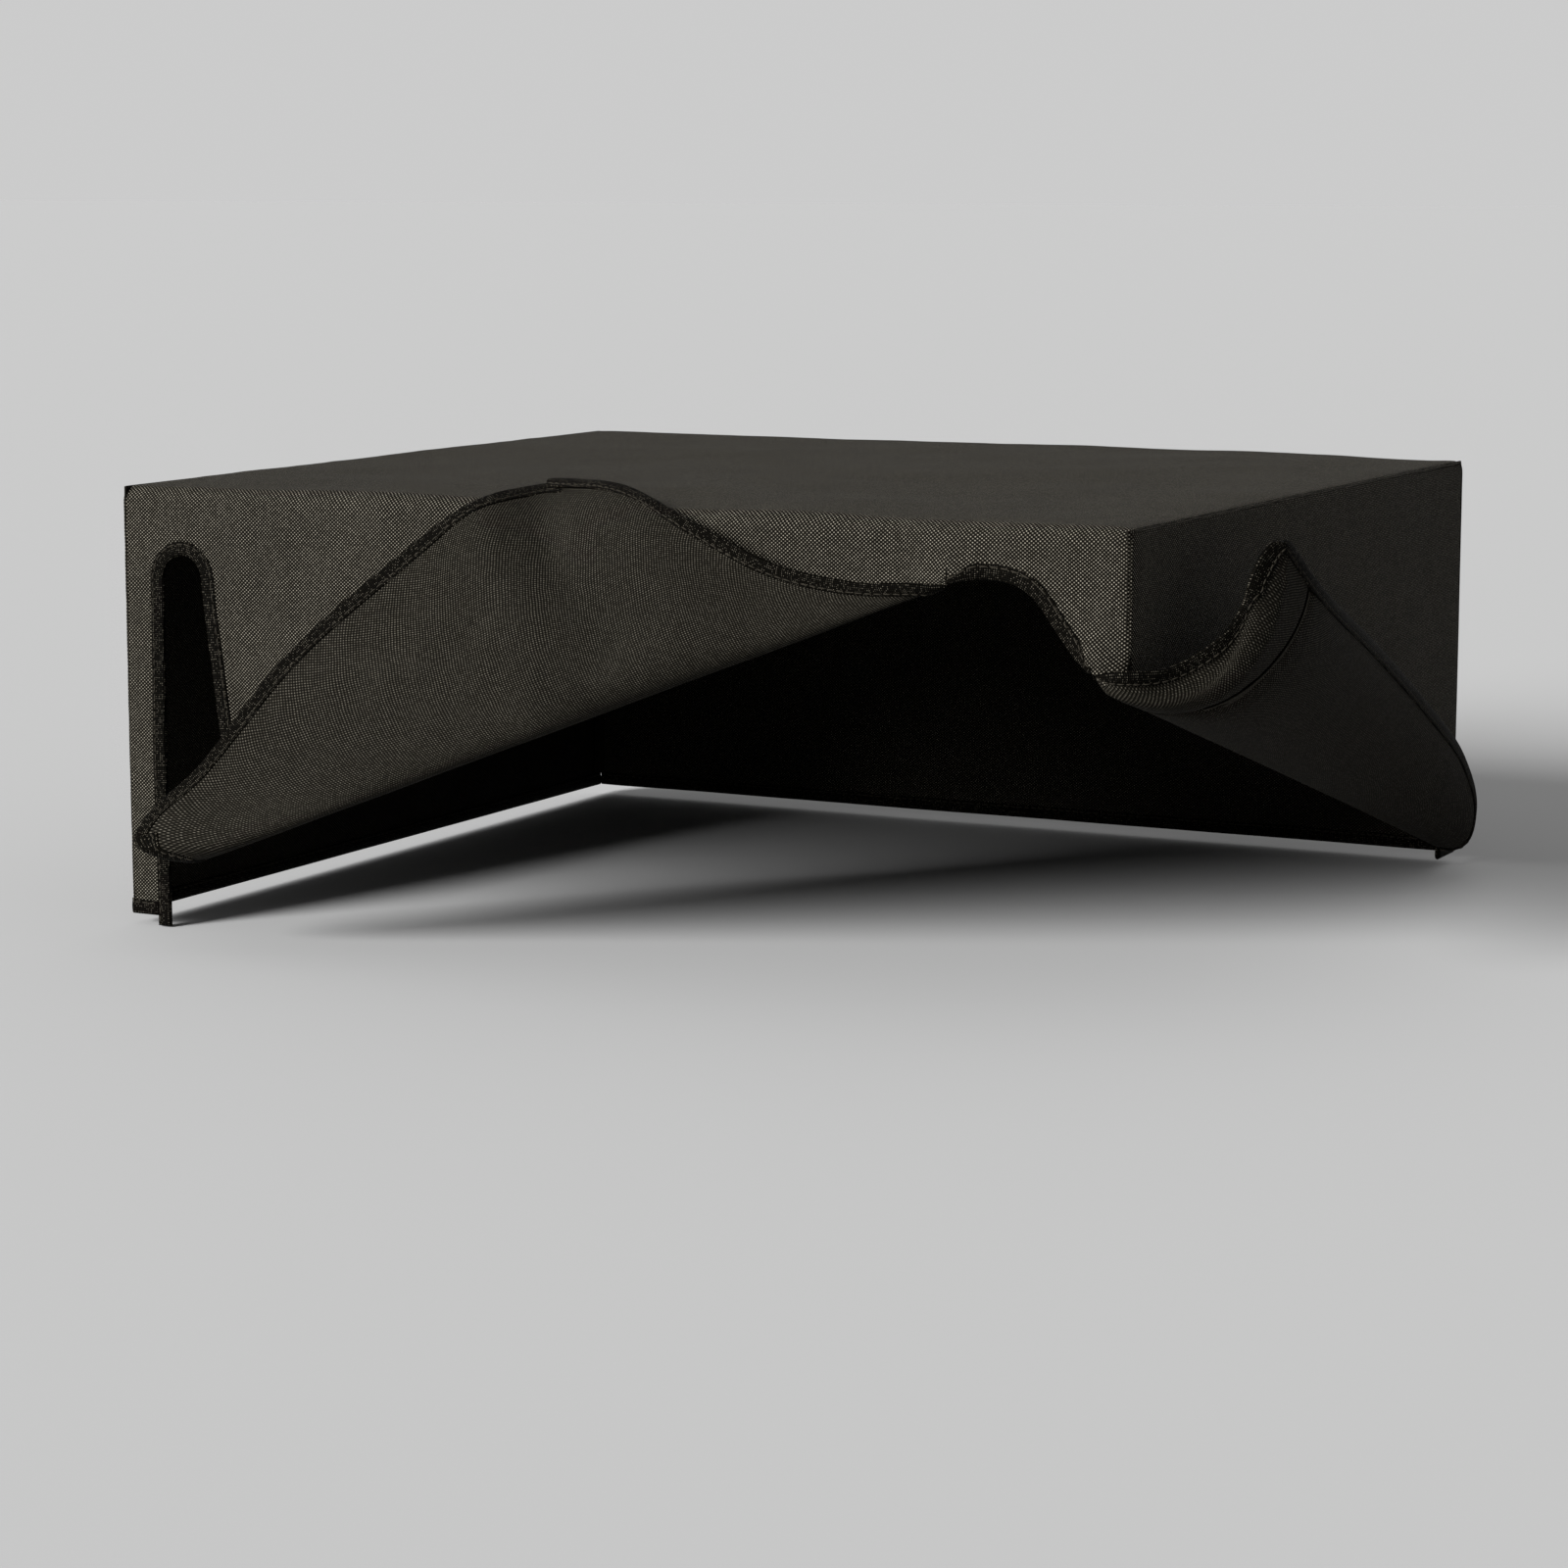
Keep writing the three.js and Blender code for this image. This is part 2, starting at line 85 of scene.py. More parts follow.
# Cloth runs this far from its bound edge, just inside the tape.
TUCK = TAPE_WIDTH - 0.3

# The left slot: middle and radius of its round top, and the loose end of its tape below the hem.
LEFT_SLOT_X, LEFT_SLOT_Z, LEFT_SLOT_R = -173.0, 126.2, 8.5
STRIP_EDGE = LEFT_SLOT_X - LEFT_SLOT_R
TAPE_TAIL = 3.5

# The front's turned-up corner: its fold, its hem up to the tip, and its slot edge down from the tip.
FLAP_FOLD = np.array([[-143, -214, 29.5], [137, -182, 139.2]], float)
FLAP_HEM = [
    [-143, -214, 29.5], [-155, -220, 31], [-164.5, -222, 36], [-161, -217, 47], [-147, -208, 62],
    [-115, -198, 103], [-79, -190, 135], [-44, -184, 160], [-26, -160, 166.5],
]
FLAP_SLOT = [
    [-26, -160, 166.5], [10, -172, 166.5], [40, -184, 158], [63, -188, 149],
    [78, -188, 143.5], [105, -188, 139.5], [126, -186, 139.7], [137, -182, 139.2],
]
# The flap below the header: its upper line, its left foot, and how far that foot swings in.
FLAP_ROOT = np.array([[-164.5, MID_FRONT, 125.9], [136, MID_FRONT, 145.5]])
FLAP_LEFT_FOOT = np.array([-153, -201, 30.5], float)
FLAP_LEFT_REACH = 14.0
FLAP_LEFT_BOW = 15.0
FLAP_SPAN = FLAP_ROOT[1][0] - FLAP_ROOT[0][0]

# The side's turned-up corner: its fold, the part of it on the front, its slot edge and its hem.
SIDE_FOLD = np.array([[203, -165, 98.7], [204, 150, 5.6]], float)
SIDE_FOLD_LEAD = [[189, -181.5, 112], [194.5, -185, 107.5], [201.5, -179.5, 103.2]]
SIDE_SLOT = [
    [189, -181.5, 112], [194.4, -184, 113.6], [201.4, -185, 114.7], [206.7, -180, 114.4],
    [211.7, -172, 115.2], [217, -164, 118.5], [222, -157, 123.2], [225, -151, 128.5], [227, -147, 134.5],
    [228, -144.5, 141], [229.5, -141, 148], [231.5, -137, 152.7], [235, -131, 156],
]
SIDE_HEM = [
    [235, -131, 156], [238, -102, 136], [235, -36, 110], [230, 37, 81],
    [223, 110, 50], [218, 143, 26], [213, 150, 12], [204, 150, 5.6],
]
# The right slot's edge on the front, as x and height.
RIGHT_ARCH = [
    [137.6, 139.6], [144, 140.9], [150, 141], [156, 140.2], [161.5, 138.3],
    [166, 134.8], [170, 129.8], [175, 123], [180, 117.5], [185.5, 113.6],
]
STRIP_WIDTH = 25.0
MARGIN_WIDTH = 8.0
TIP_RADIUS = 6.0


# ---------------------------------------------------------------- numbers and curves
def smooth(x, low, high):
    t = np.clip((np.asarray(x, float) - low) / (high - low), 0, 1)
    return t * t * (3 - 2 * t)


def lerp(a, b, t):
    return a + (b - a) * np.asarray(t, float)[..., None]


def unit(v):
    return v / np.maximum(np.linalg.norm(v, axis=-1, keepdims=True), 1e-12)


def cubic(a, b, c, d, t):
    t = np.asarray(t, float)[..., None]
    return a * (1 - t) ** 3 + 3 * b * t * (1 - t) ** 2 + 3 * c * t * t * (1 - t) + d * t ** 3


class Path:
    """A centripetal Catmull-Rom curve, read by length along it."""

    def __init__(self, points):
        p = np.array(points, float)
        p = np.vstack([2 * p[0] - p[1], p, 2 * p[-1] - p[-2]])
        t = np.linspace(0, 1, 60, endpoint=False)[:, None]
        pieces = []
        for a, b, c, d in zip(p, p[1:], p[2:], p[3:]):
            d0, d1, d2 = (np.linalg.norm(x) ** 0.5 for x in (b - a, c - b, d - c))
            t1 = ((b - a) / d0 - (c - a) / (d0 + d1) + (c - b) / d1) * d1
            t2 = ((c - b) / d1 - (d - b) / (d1 + d2) + (d - c) / d2) * d1
            pieces.append(
                (2 * t**3 - 3 * t**2 + 1) * b + (t**3 - 2 * t**2 + t) * t1
                + (3 * t**2 - 2 * t**3) * c + (t**3 - t**2) * t2
            )
        self.points = np.vstack([*pieces, p[-2:-1]])
        steps = np.linalg.norm(np.diff(self.points, axis=0), axis=1)
        self.marks = np.concatenate([[0], np.cumsum(steps)])
        self.length = self.marks[-1]

    def at(self, s):
        s = np.clip(s, 0, self.length)
        return np.stack([np.interp(s, self.marks, self.points[:, k]) for k in range(3)], -1)

    def along(self, s):
        return unit(self.at(np.asarray(s) + 0.4) - self.at(np.asarray(s) - 0.4))


# ---------------------------------------------------------------- the cover's surfaces
def flap(u, v):
    """The front flap: u from the left slot, v from the header (0) down to the fold (1)."""
    u, v = np.broadcast_arrays(np.asarray(u, float), np.asarray(v, float))
    root = lerp(FLAP_ROOT[0], FLAP_ROOT[1], u / FLAP_SPAN)
    near = lerp(FLAP_LEFT_FOOT, FLAP_FOLD[0], u / FLAP_LEFT_REACH)
    far = lerp(FLAP_FOLD[0], FLAP_FOLD[1], (u - FLAP_LEFT_REACH) / (FLAP_SPAN - FLAP_LEFT_REACH))
    foot = np.where((u < FLAP_LEFT_REACH)[..., None], near, far)
    drop = root[..., 2] - foot[..., 2]
    reach = (root[..., 1] - foot[..., 1]) * smooth(u, 0, FLAP_LEFT_REACH)
    bow = FLAP_LEFT_BOW * (1 - smooth(u, 0, 70))
    zero = np.zeros_like(bow)
    c1 = root + np.stack([0.3 * bow, zero, -0.5 * drop], -1)
    c2 = foot + np.stack([1.6 * bow, 0.6 * reach, 0.12 * drop], -1)
    return cubic(root, c1, c2, foot, v)


def right_side(y, v):
    """The right side: y along it, v from its top seam (0) down to the fold (1)."""
    y, v = np.broadcast_arrays(np.asarray(y, float), np.asarray(v, float))
    a, b = SIDE_FOLD
    f = np.minimum((y - a[1]) / (b[1] - a[1]), 1)
    past = np.clip((y - b[1]) / 14, 0, 1)
    on_fold = side_corner.fold.at((1 - f) * np.linalg.norm(b - a))
    foot_x = on_fold[..., 0] * (1 - past) + MID_RIGHT * past
    foot_z = np.maximum(on_fold[..., 2], TUCK)
    top = np.stack([np.full_like(y, MID_RIGHT), y, np.full_like(y, HEIGHT - 1)], -1)
    foot = np.stack([foot_x, np.where(f < 1, on_fold[..., 1], y), foot_z], -1)
    bend = np.stack([top[..., 0], y, foot_z + 14], -1)
    corner = np.stack([top[..., 0], y, foot_z + 3], -1)
    upper = top + (bend - top) * np.clip(2 * v, 0, 1)[..., None]
    lower = cubic(bend, bend * 0.3 + corner * 0.7, foot * 0.4 + corner * 0.6, foot, np.clip(2 * v - 1, 0, 1))
    return np.where((v < 0.5)[..., None], upper, lower)


# Steps in which a corner's curve from its fold to its rim is measured.
CURVE_STEPS = 32


class Corner:
    """A turned-up corner: a triangle of cloth between its fold, its hem and its slot edge.

    Its tip is a right angle in the flat. "along" runs on the fold from the hem's end, and "above" is the
    height over the fold.
    """

    def __init__(self, fold, hem, slot, out, reach, end):
        self.fold, self.hem, self.slot = Path(fold), Path(hem), Path(slot)
        self.out, self.reach, self.end = np.array(out, float), reach, end
        self.length = math.hypot(self.hem.length, self.slot.length)
        self.sin = self.slot.length / self.length
        self.cos = self.hem.length / self.length
        self.tip_along = self.hem.length * self.cos

    def depth(self, along):
        rising = along * self.sin / self.cos
        falling = (self.length - along) * self.cos / self.sin
        return np.maximum(np.minimum(rising, falling), 1e-6)

    def rim(self, along):
        on_hem = self.hem.at(along / self.cos)
        on_slot = self.slot.at((along - self.tip_along) / self.sin)
        return np.where((along < self.tip_along)[..., None], on_hem, on_slot)

    def rounded(self, along, above):
        """Moves places near the tip so that the square tip becomes a quarter circle."""
        from_hem = along * self.sin - above * self.cos
        from_slot = (self.length - along) * self.cos - above * self.sin
        a = np.clip(1 - from_hem / TIP_RADIUS, 0, 1)
        b = np.clip(1 - from_slot / TIP_RADIUS, 0, 1)
        in_hem = (a - a * np.sqrt(1 - b * b / 2)) * TIP_RADIUS
        in_slot = (b - b * np.sqrt(1 - a * a / 2)) * TIP_RADIUS
        return along + in_hem * self.sin - in_slot * self.cos, above - in_hem * self.cos - in_slot * self.sin

    def surface(self, along, above):
        along, above = np.broadcast_arrays(np.asarray(along, float), np.asarray(above, float))
        along, above = self.rounded(along, above)
        along = np.clip(along, 0, self.length)
        root = self.fold.at(along / self.length * self.fold.length)
        edge = self.rim(along)
        size = np.linalg.norm(edge - root, axis=-1)
        c1 = root + self.out * (size * self.reach)[..., None]
        c2 = edge + self.end(root, edge, size)
        wide = [x[..., None, :] for x in (root, c1, c2, edge)]
        samples = cubic(*wide, np.linspace(0, 1, CURVE_STEPS + 1))
        steps = np.linalg.norm(np.diff(samples, axis=-2), axis=-1)
        marks = np.concatenate([np.zeros((*steps.shape[:-1], 1)), np.cumsum(steps, axis=-1)], axis=-1)
        goal = np.clip(above / self.depth(along), 0, 1) * marks[..., -1]
        after = np.clip((marks < goal[..., None]).sum(-1), 1, CURVE_STEPS)
        low = np.take_along_axis(marks, after[..., None] - 1, -1)[..., 0]
        high = np.take_along_axis(marks, after[..., None], -1)[..., 0]
        t = (after - 1 + (goal - low) / np.maximum(high - low, 1e-9)) / CURVE_STEPS
        return cubic(root, c1, c2, edge, t)

    def square_in(self, start, side, inward):
        """The place that is "inward" of a place on the rim, measured on the cloth and square to the rim."""
        start, inward = np.broadcast_arrays(np.asarray(start, float), np.asarray(inward, float))
        near_fold = 4 * (self.cos / self.sin if side > 0 else self.sin / self.cos)
        firm = np.clip(start, near_fold, self.length - near_fold)
        here = self.rim(firm)
        du = (self.rim(firm - side) - here) * -side
        dv = (self.surface(firm, self.depth(firm) - 3) - here) / 3
        u = unit(du)
        square = unit(dv - u * (u * dv).sum(-1, keepdims=True))
        uu, uv, vv = ((a * b).sum(-1) for a, b in ((du, du), (du, dv), (dv, dv)))
        scale = inward * (square * dv).sum(-1) / (uu * vv - uv * uv)
        along = start - uv * scale
        return along, self.depth(along) - uu * scale

    def on_hem(self, e, inward):
        return self.square_in(np.asarray(e) * self.cos, 1, inward)

    def on_slot(self, e, inward):
        return self.square_in(self.length - np.asarray(e) * self.sin, -1, inward)

    def flat_slot(self, e, inward):
        return self.length - e * self.sin - inward * self.cos, e * self.cos - inward * self.sin


def flap_end(root, edge, size):
    """The sheet leans on the front, rolls in at its low end and lies back over the top crease at its tip."""
    over = smooth(edge[..., 2], 146, 168)
    back = -(0.06 + 0.26 * over) * size
    leaning = np.stack([np.zeros_like(size), back, (-0.35 + 0.25 * over) * size], -1)
    rolled = (root - edge) * 0.34 + np.stack([0 * size, -0.12 * size, 0 * size], -1)
    return lerp(rolled, leaning, smooth(edge[..., 2], 38, 84))


def side_end(root, edge, size):
    return np.stack([0.06 * size, np.zeros_like(size), -0.4 * size], -1)


flap_corner = Corner(FLAP_FOLD, FLAP_HEM, FLAP_SLOT, (0, -1, -0.2), 0.3, flap_end)
side_corner = Corner(
    [*SIDE_FOLD_LEAD, *SIDE_FOLD][::-1], SIDE_HEM[::-1], SIDE_SLOT[::-1], (1, 0, -0.2), 0.4, side_end,
)
arch = Path([[x, MID_FRONT, z] for x, z in RIGHT_ARCH])


def narrowing(e):
    """The binding shows narrower where it twists over at the end of a fold."""
    return 0.42 + 0.58 * smooth(e, 0, 9)


def on_arch(s, inward):
    """The right slot's edge by length along it, moved into the cloth."""
    t = arch.along(np.clip(s, 0.5, arch.length - 0.5))
    shift = np.stack([-t[..., 2], np.zeros_like(t[..., 0]), t[..., 0]], -1)
    past = s - np.clip(s, 0, arch.length)
    return arch.at(s) + t * np.asarray(past, float)[..., None] + shift * np.asarray(inward, float)[..., None]


# ---------------------------------------------------------------- how soft cloth departs from flat panels
def ripple(p, scale, seed):
    return np.array([noise.noise(Vector((x / scale + seed, y / scale, z / scale))) for x, y, z in p])


def soften(p):
    """Outward offset of the cloth: slack, and slow ripples that fade at seams and on what is turned up."""
    from_seam = np.minimum(RIGHT - np.abs(p[:, 0]), 400)
    calm = smooth(from_seam, 0, 14) * 0.75 + 0.25
    turned = np.maximum(smooth(-p[:, 1], 182, 190), smooth(p[:, 0], 203, 206))
    slow = 1.3 * ripple(p, 95, 3.1) + 0.8 * ripple(p, 40, 7.7) + 0.16 * ripple(p, 13, 1.9)
    on_top = smooth(p[:, 2], HEIGHT - 3, HEIGHT - 0.8)
    slack = 1.6 * (1 - (np.abs(p[:, 0]) / RIGHT) ** 6) * (1 - (np.abs(p[:, 1]) / BACK) ** 6)
    return slow * calm * (0.8 - 0.45 * turned) + slack * on_top * (np.abs(p[:, 1]) < BACK)


def seam_dip(distance, along):
    """How far cloth dips towards a seam, with small puckers along it."""
    pucker = 1 + 0.35 * np.sin(along / 2.3) * np.sin(along / 7.1 + 0.6)
    return 1.25 * np.exp(-((distance / 1.5) ** 2)) + 0.3 * pucker * np.exp(-((distance / 6) ** 2))


def wrap_dip(p):
    return seam_dip(RIGHT - np.abs(p[:, 0]), p[:, 1] + p[:, 2])


def side_dip(p):
    distance = np.minimum(HEIGHT - p[:, 2], np.minimum(p[:, 1] - FRONT, BACK - p[:, 1]))
    return seam_dip(np.abs(distance), p[:, 1] + p[:, 2])


seam_es = np.linspace(0, side_corner.slot.length, 120)
seam_line = side_corner.surface(*side_corner.flat_slot(seam_es, STRIP_WIDTH))


def turned_seam_dip(p):
    """The dip beside the seam that crosses the turned-up side corner, seen from inside the cover."""
    distances = np.linalg.norm(p[:, None] - seam_line[None], axis=-1)
    off_fold = smooth(seam_es[distances.argmin(1)], 9, 24)
    return -1.5 * off_fold * seam_dip(distances.min(1) * 1.2, p[:, 1] + p[:, 2])


def no_dip(p):
    return np.zeros(len(p))


def led_forward(p):
    """Where a turned-up corner starts, the front swells forward to meet its fold."""
    swell = 0
    for (x, y, z), wide in ((FLAP_FOLD[1], 11), (SIDE_FOLD_LEAD[0], 9)):
        near = np.exp(-((np.hypot(p[:, 0] - x, p[:, 2] - z - 1) / wide) ** 2))
        swell = swell + (MID_FRONT - y) * near * np.clip((p[:, 1] - y) / (MID_FRONT - y), 0, 1)
    return p - np.stack([0 * swell, swell * (p[:, 1] < 0), 0 * swell], -1)


# ---------------------------------------------------------------- meshes
def face_normals(points, quads):
    a, b, c, d = (points[quads[:, k]] for k in range(4))
    return np.cross(c - a, d - b)


def vertex_normals(points, quads):
    out = np.zeros_like(points)
    n = face_normals(points, quads)
    for k in range(4):
        np.add.at(out, quads[:, k], n)
    return unit(out)


class Sheet:
    """Patches of cloth mid-surface sewn into one mesh where they meet."""

    def __init__(self):
        self.points, self.key = [], {}
        self.quads, self.uvs, self.own = [], [], []

    def patch(self, grid, uv, own=True, flip=False):
        rows, columns = grid.shape[:2]
        ids = np.empty((rows, columns), int)
        for i in range(rows):
            for j in range(columns):
                k = tuple(np.round(grid[i, j] * 200).astype(int))
                if k not in self.key:
                    self.key[k] = len(self.points)
                    self.points.append(grid[i, j])
                ids[i, j] = self.key[k]
        for i in range(rows - 1):
            for j in range(columns - 1):
                corners = [(i, j), (i + 1, j), (i + 1, j + 1), (i, j + 1)]
                if flip:
                    corners.reverse()
                quad = [ids[c] for c in corners]
                if len(set(quad)) < 4:
                    continue
                self.quads.append(quad)
                self.uvs.append([uv[c] for c in corners])
                self.own.append(own)
        return self

    def build(self, name, materials, dip=no_dip, thickness=SHOWN_CLOTH):
        points = np.array(self.points)
        quads = np.array(self.quads)
        normals = vertex_normals(points, quads)
        points = led_forward(points)
        points = points + normals * (soften(points) - dip(points))[:, None]
        normals = vertex_normals(points, quads)
        mine = quads[np.array(self.own)]
        uvs = np.array([u for u, o in zip(self.uvs, self.own) if o])
        used, flat = np.unique(mine, return_inverse=True)
        mine = flat.reshape(mine.shape)
        points, normals = points[used], normals[used]
        count = len(points)
        outer = points + normals * thickness / 2
        inner = points - normals * thickness / 2
        counts = {}
        for quad in mine:
            for a, b in zip(quad, np.roll(quad, -1)):
                counts[(a, b)] = counts.get((a, b), 0) + 1
        rim = [(a, b) for a, b in counts if (b, a) not in counts]
        faces = [list(q) for q in mine] + [[i + count for i in q[::-1]] for q in mine]
        faces += [[b, a, a + count, b + count] for a, b in rim]
        uv = [*uvs, *(u[::-1] for u in uvs), *[np.zeros((4, 2))] * len(rim)]
        body = len(mine)
        slots = [0] * body + [1] * body + [0] * len(rim)
        shading = np.zeros((len(faces), 4, 3))
        shading[:body] = normals[mine]
        shading[body:2 * body] = -normals[mine][:, ::-1]
        return make_object(name, np.vstack([outer, inner]), faces, np.array(uv), materials, slots, shading)


def make_object(name, points, faces, uv, materials, slots=None, shading=None):
    """A mesh object from points in millimetres above the hem."""
    mesh = bpy.data.meshes.new(name)
    placed = (np.asarray(points) + [0, 0, HEM]) * MM
    mesh.from_pydata(placed.tolist(), [], [list(map(int, f)) for f in faces])
    layer = mesh.uv_layers.new(name="Weave")
    flat = np.concatenate([np.asarray(u, float).reshape(-1, 2) for u in uv]) * MM
    layer.data.foreach_set("uv", flat.ravel())
    for material in materials:
        mesh.materials.append(material)
    if slots is not None:
        mesh.polygons.foreach_set("material_index", slots)
    mesh.polygons.foreach_set("use_smooth", [True] * len(mesh.polygons))
    if shading is not None:
        mesh.normals_split_custom_set(np.asarray(shading).reshape(-1, 3).tolist())
    ob = bpy.data.objects.new(name, mesh)
    bpy.context.scene.collection.objects.link(ob)
    return ob


# Section of the binding: distance in from the cloth's edge, and height off its middle.
TAPE_SECTION = [
    (5.5, 0.32), (5.5, 0.66), (5.3, 0.84), (4.9, 0.88), (4.45, 0.76), (4.0, 0.9), (3.0, 1.03),
    (1.9, 1.05), (0.95, 0.98), (0.35, 0.74), (0.08, 0.4),
]
STITCH_IN, STITCH_UP = 4.45, 0.84
STITCH_LONG, STITCH_PITCH, THREAD = 2.3, 3.2, 0.26
TAPE_STEP = 1.6


def binding(name, band, start, end, materials):
    """Tape folded over an edge. band(e, inward) is the cloth beside the edge, by length along the edge."""
    count = max(int(abs(end - start) / TAPE_STEP), 2)
    es = np.linspace(start, end, count + 1)
    section = TAPE_SECTION + [(0.0, 0.0)] + [(i, -h) for i, h in reversed(TAPE_SECTION)]
    inward, height = np.array(section).T
    at, normal = banded(band, es, inward)
    ring = at + normal * height[None, :, None]
    rows, columns = ring.shape[:2]
    points = [ring.reshape(-1, 3)]
    faces, uv, slots = [], [], []
    for i in range(rows - 1):
        for j in range(columns):
            k = (j + 1) % columns
            faces.append([i * columns + j, (i + 1) * columns + j, (i + 1) * columns + k, i * columns + k])
            a, b = (inward[n] * (1 if height[n] >= 0 else -1) for n in (j, k))
            uv.append([(es[i], a), (es[i + 1], a), (es[i + 1], b), (es[i], b)])
            slots.append(0)
    for i, order in ((0, range(columns)), (rows - 1, range(columns - 1, -1, -1))):
        faces.append([i * columns + j for j in order])
        uv.append([(es[i] + 0.2 * height[j], inward[j]) for j in order])
        slots.append(0)
    # A long face that looks at the middle of the tape means that all of them are inside out.
    middle = ring[0].mean(0)
    a, b, c, d = (points[0][n] for n in faces[3])
    if np.dot(np.cross(c - a, d - b), (a + b + c + d) / 4 - middle) < 0:
        faces = [f[::-1] for f in faces]
        uv = [u[::-1] for u in uv]
    offset = len(points[0])
    length = abs(end - start)
    sign = 1 if end > start else -1
    starts = start + sign * np.arange(1.2, length - STITCH_LONG - 0.6, STITCH_PITCH)
    for side in (1, -1):
        extra, more = stitches(band, starts, sign, side)
        points.append(extra)
        faces += [[n + offset for n in f] for f in more]
        uv += [np.zeros((4, 2))] * len(more)
        slots += [1] * len(more)
        offset += len(extra)
    return make_object(name, np.vstack(points), faces, uv, materials, slots)


def banded(band, es, inward):
    """Points of a band and their normals, with the same softness as the cloth beside it."""
    es = es[:, None]
    low = np.maximum(inward - 0.6, 0)
    across = band(es, (low + 1.2)[None, :]) - band(es, low[None, :])
    along = band(es + 0.7, inward[None, :]) - band(es - 0.7, inward[None, :])
    normal = unit(np.cross(along, across))
    at = band(es, inward[None, :])
    flat = led_forward(at.reshape(-1, 3))
    flat = flat + normal.reshape(-1, 3) * soften(flat)[:, None]
    return flat.reshape(at.shape), normal


def stitches(band, starts, sign, side):
    """Short raised threads along the tape, each sunk at both ends."""
    if not len(starts):
        return np.zeros((0, 3)), []
    profile = [(0.0, -0.12), (0.25, 0.08), (0.5, 0.14), (0.75, 0.08), (1.0, -0.12)]
    rings = []
    for share, lift in profile:
        es = starts + sign * STITCH_LONG * share
        at, normal = banded(band, es, np.array([STITCH_IN, STITCH_IN - 0.5]))
        across = unit(at[:, 1] - at[:, 0])
        centre = at[:, 0] + normal[:, 0] * side * (STITCH_UP + lift)
        radius = THREAD * (0.7 if share in (0.0, 1.0) else 1.0)
        ring = [
            centre + across * radius * math.cos(a) + normal[:, 0] * side * radius * 0.8 * math.sin(a)
            for a in np.linspace(0, 2 * math.pi, 6, endpoint=False)
        ]
        rings.append(np.stack(ring, 1))
    rings = np.stack(rings, 1)
    n, m, k = rings.shape[:3]
    faces = []
    for s in range(n):
        base = s * m * k
        for i in range(m - 1):
            for j in range(k):
                a, b = base + i * k + j, base + i * k + (j + 1) % k
                quad = [a, b, b + k, a + k]
                faces.append(quad if side * sign > 0 else quad[::-1])
    return rings.reshape(-1, 3), faces


# ---------------------------------------------------------------- materials
# Height of the threads, in millimetres.
RELIEF = 0.3


def node(tree, kind, **settings):
    n = tree.nodes.new(kind)
    for key, value in settings.items():
        setattr(n, key, value)
    return n


def feed(tree, socket, value):
    """Links a socket to another, or sets it to a number or a colour."""
    if isinstance(value, bpy.types.NodeSocket):
        tree.links.new(value, socket)
    elif isinstance(value, tuple):
        socket.default_value = (*value, 1)
    else:
        socket.default_value = value


def math_node(tree, operation, a, b=0.0, clamp=False):
    n = node(tree, "ShaderNodeMath", operation=operation, use_clamp=clamp)
    feed(tree, n.inputs[0], a)
    feed(tree, n.inputs[1], b)
    return n.outputs[0]


def mix_colour(tree, factor, a, b):
    n = node(tree, "ShaderNodeMix", data_type="RGBA")
    for index, value in ((0, factor), (6, a), (7, b)):
        feed(tree, n.inputs[index], value)
    return n.outputs[2]


def noise_node(tree, vector, scale, detail=2.0, rough=0.5):
    n = node(tree, "ShaderNodeTexNoise")
    tree.links.new(vector, n.inputs["Vector"])
    n.inputs["Scale"].default_value = scale
    n.inputs["Detail"].default_value = detail
    n.inputs["Roughness"].default_value = rough
    return n.outputs["Fac"]


def ramp(tree, value, low, high):
    n = node(tree, "ShaderNodeMapRange")
    tree.links.new(value, n.inputs["Value"])
    n.inputs["From Min"].default_value = low
    n.inputs["From Max"].default_value = high
    return n.outputs["Result"]


def crossing(tree, uv, pitch_u, pitch_v, angle):
    """Crossing threads: which is on top at a place, and random shares of the crossing and its threads."""
    wobble = node(tree, "ShaderNodeTexNoise")
    tree.links.new(uv, wobble.inputs["Vector"])
    wobble.inputs["Scale"].default_value = 90
    wobble.inputs["Detail"].default_value = 1
    bent = node(tree, "ShaderNodeVectorMath", operation="MULTIPLY_ADD")
    tree.links.new(wobble.outputs["Color"], bent.inputs[0])
    bent.inputs[1].default_value = (0.0011, 0.0011, 0)
    tree.links.new(uv, bent.inputs[2])
    turned = node(tree, "ShaderNodeMapping")
    turned.inputs["Rotation"].default_value = (0, 0, angle)
    tree.links.new(bent.outputs[0], turned.inputs["Vector"])
    parts = node(tree, "ShaderNodeSeparateXYZ")
    tree.links.new(turned.outputs[0], parts.inputs[0])
    cell = node(tree, "ShaderNodeCombineXYZ")
    waves, shares = [], []
    for axis, pitch in enumerate((pitch_u, pitch_v)):
        across = parts.outputs[axis]
        waves.append(math_node(tree, "SINE", math_node(tree, "MULTIPLY", across, 2 * math.pi / pitch)))
        index = math_node(tree, "FLOOR", math_node(tree, "MULTIPLY", across, 2 / pitch))
        tree.links.new(index, cell.inputs[axis])
        own = node(tree, "ShaderNodeTexWhiteNoise", noise_dimensions="1D")
        tree.links.new(index, own.inputs["W"])
        shares.append(math_node(tree, "MULTIPLY", own.outputs[0], 0.5))
    uneven = node(tree, "ShaderNodeTexWhiteNoise", noise_dimensions="2D")
    tree.links.new(cell.outputs[0], uneven.inputs["Vector"])
    over = math_node(tree, "MULTIPLY", *waves)
    return over, uneven.outputs[0], math_node(tree, "ADD", *shares)


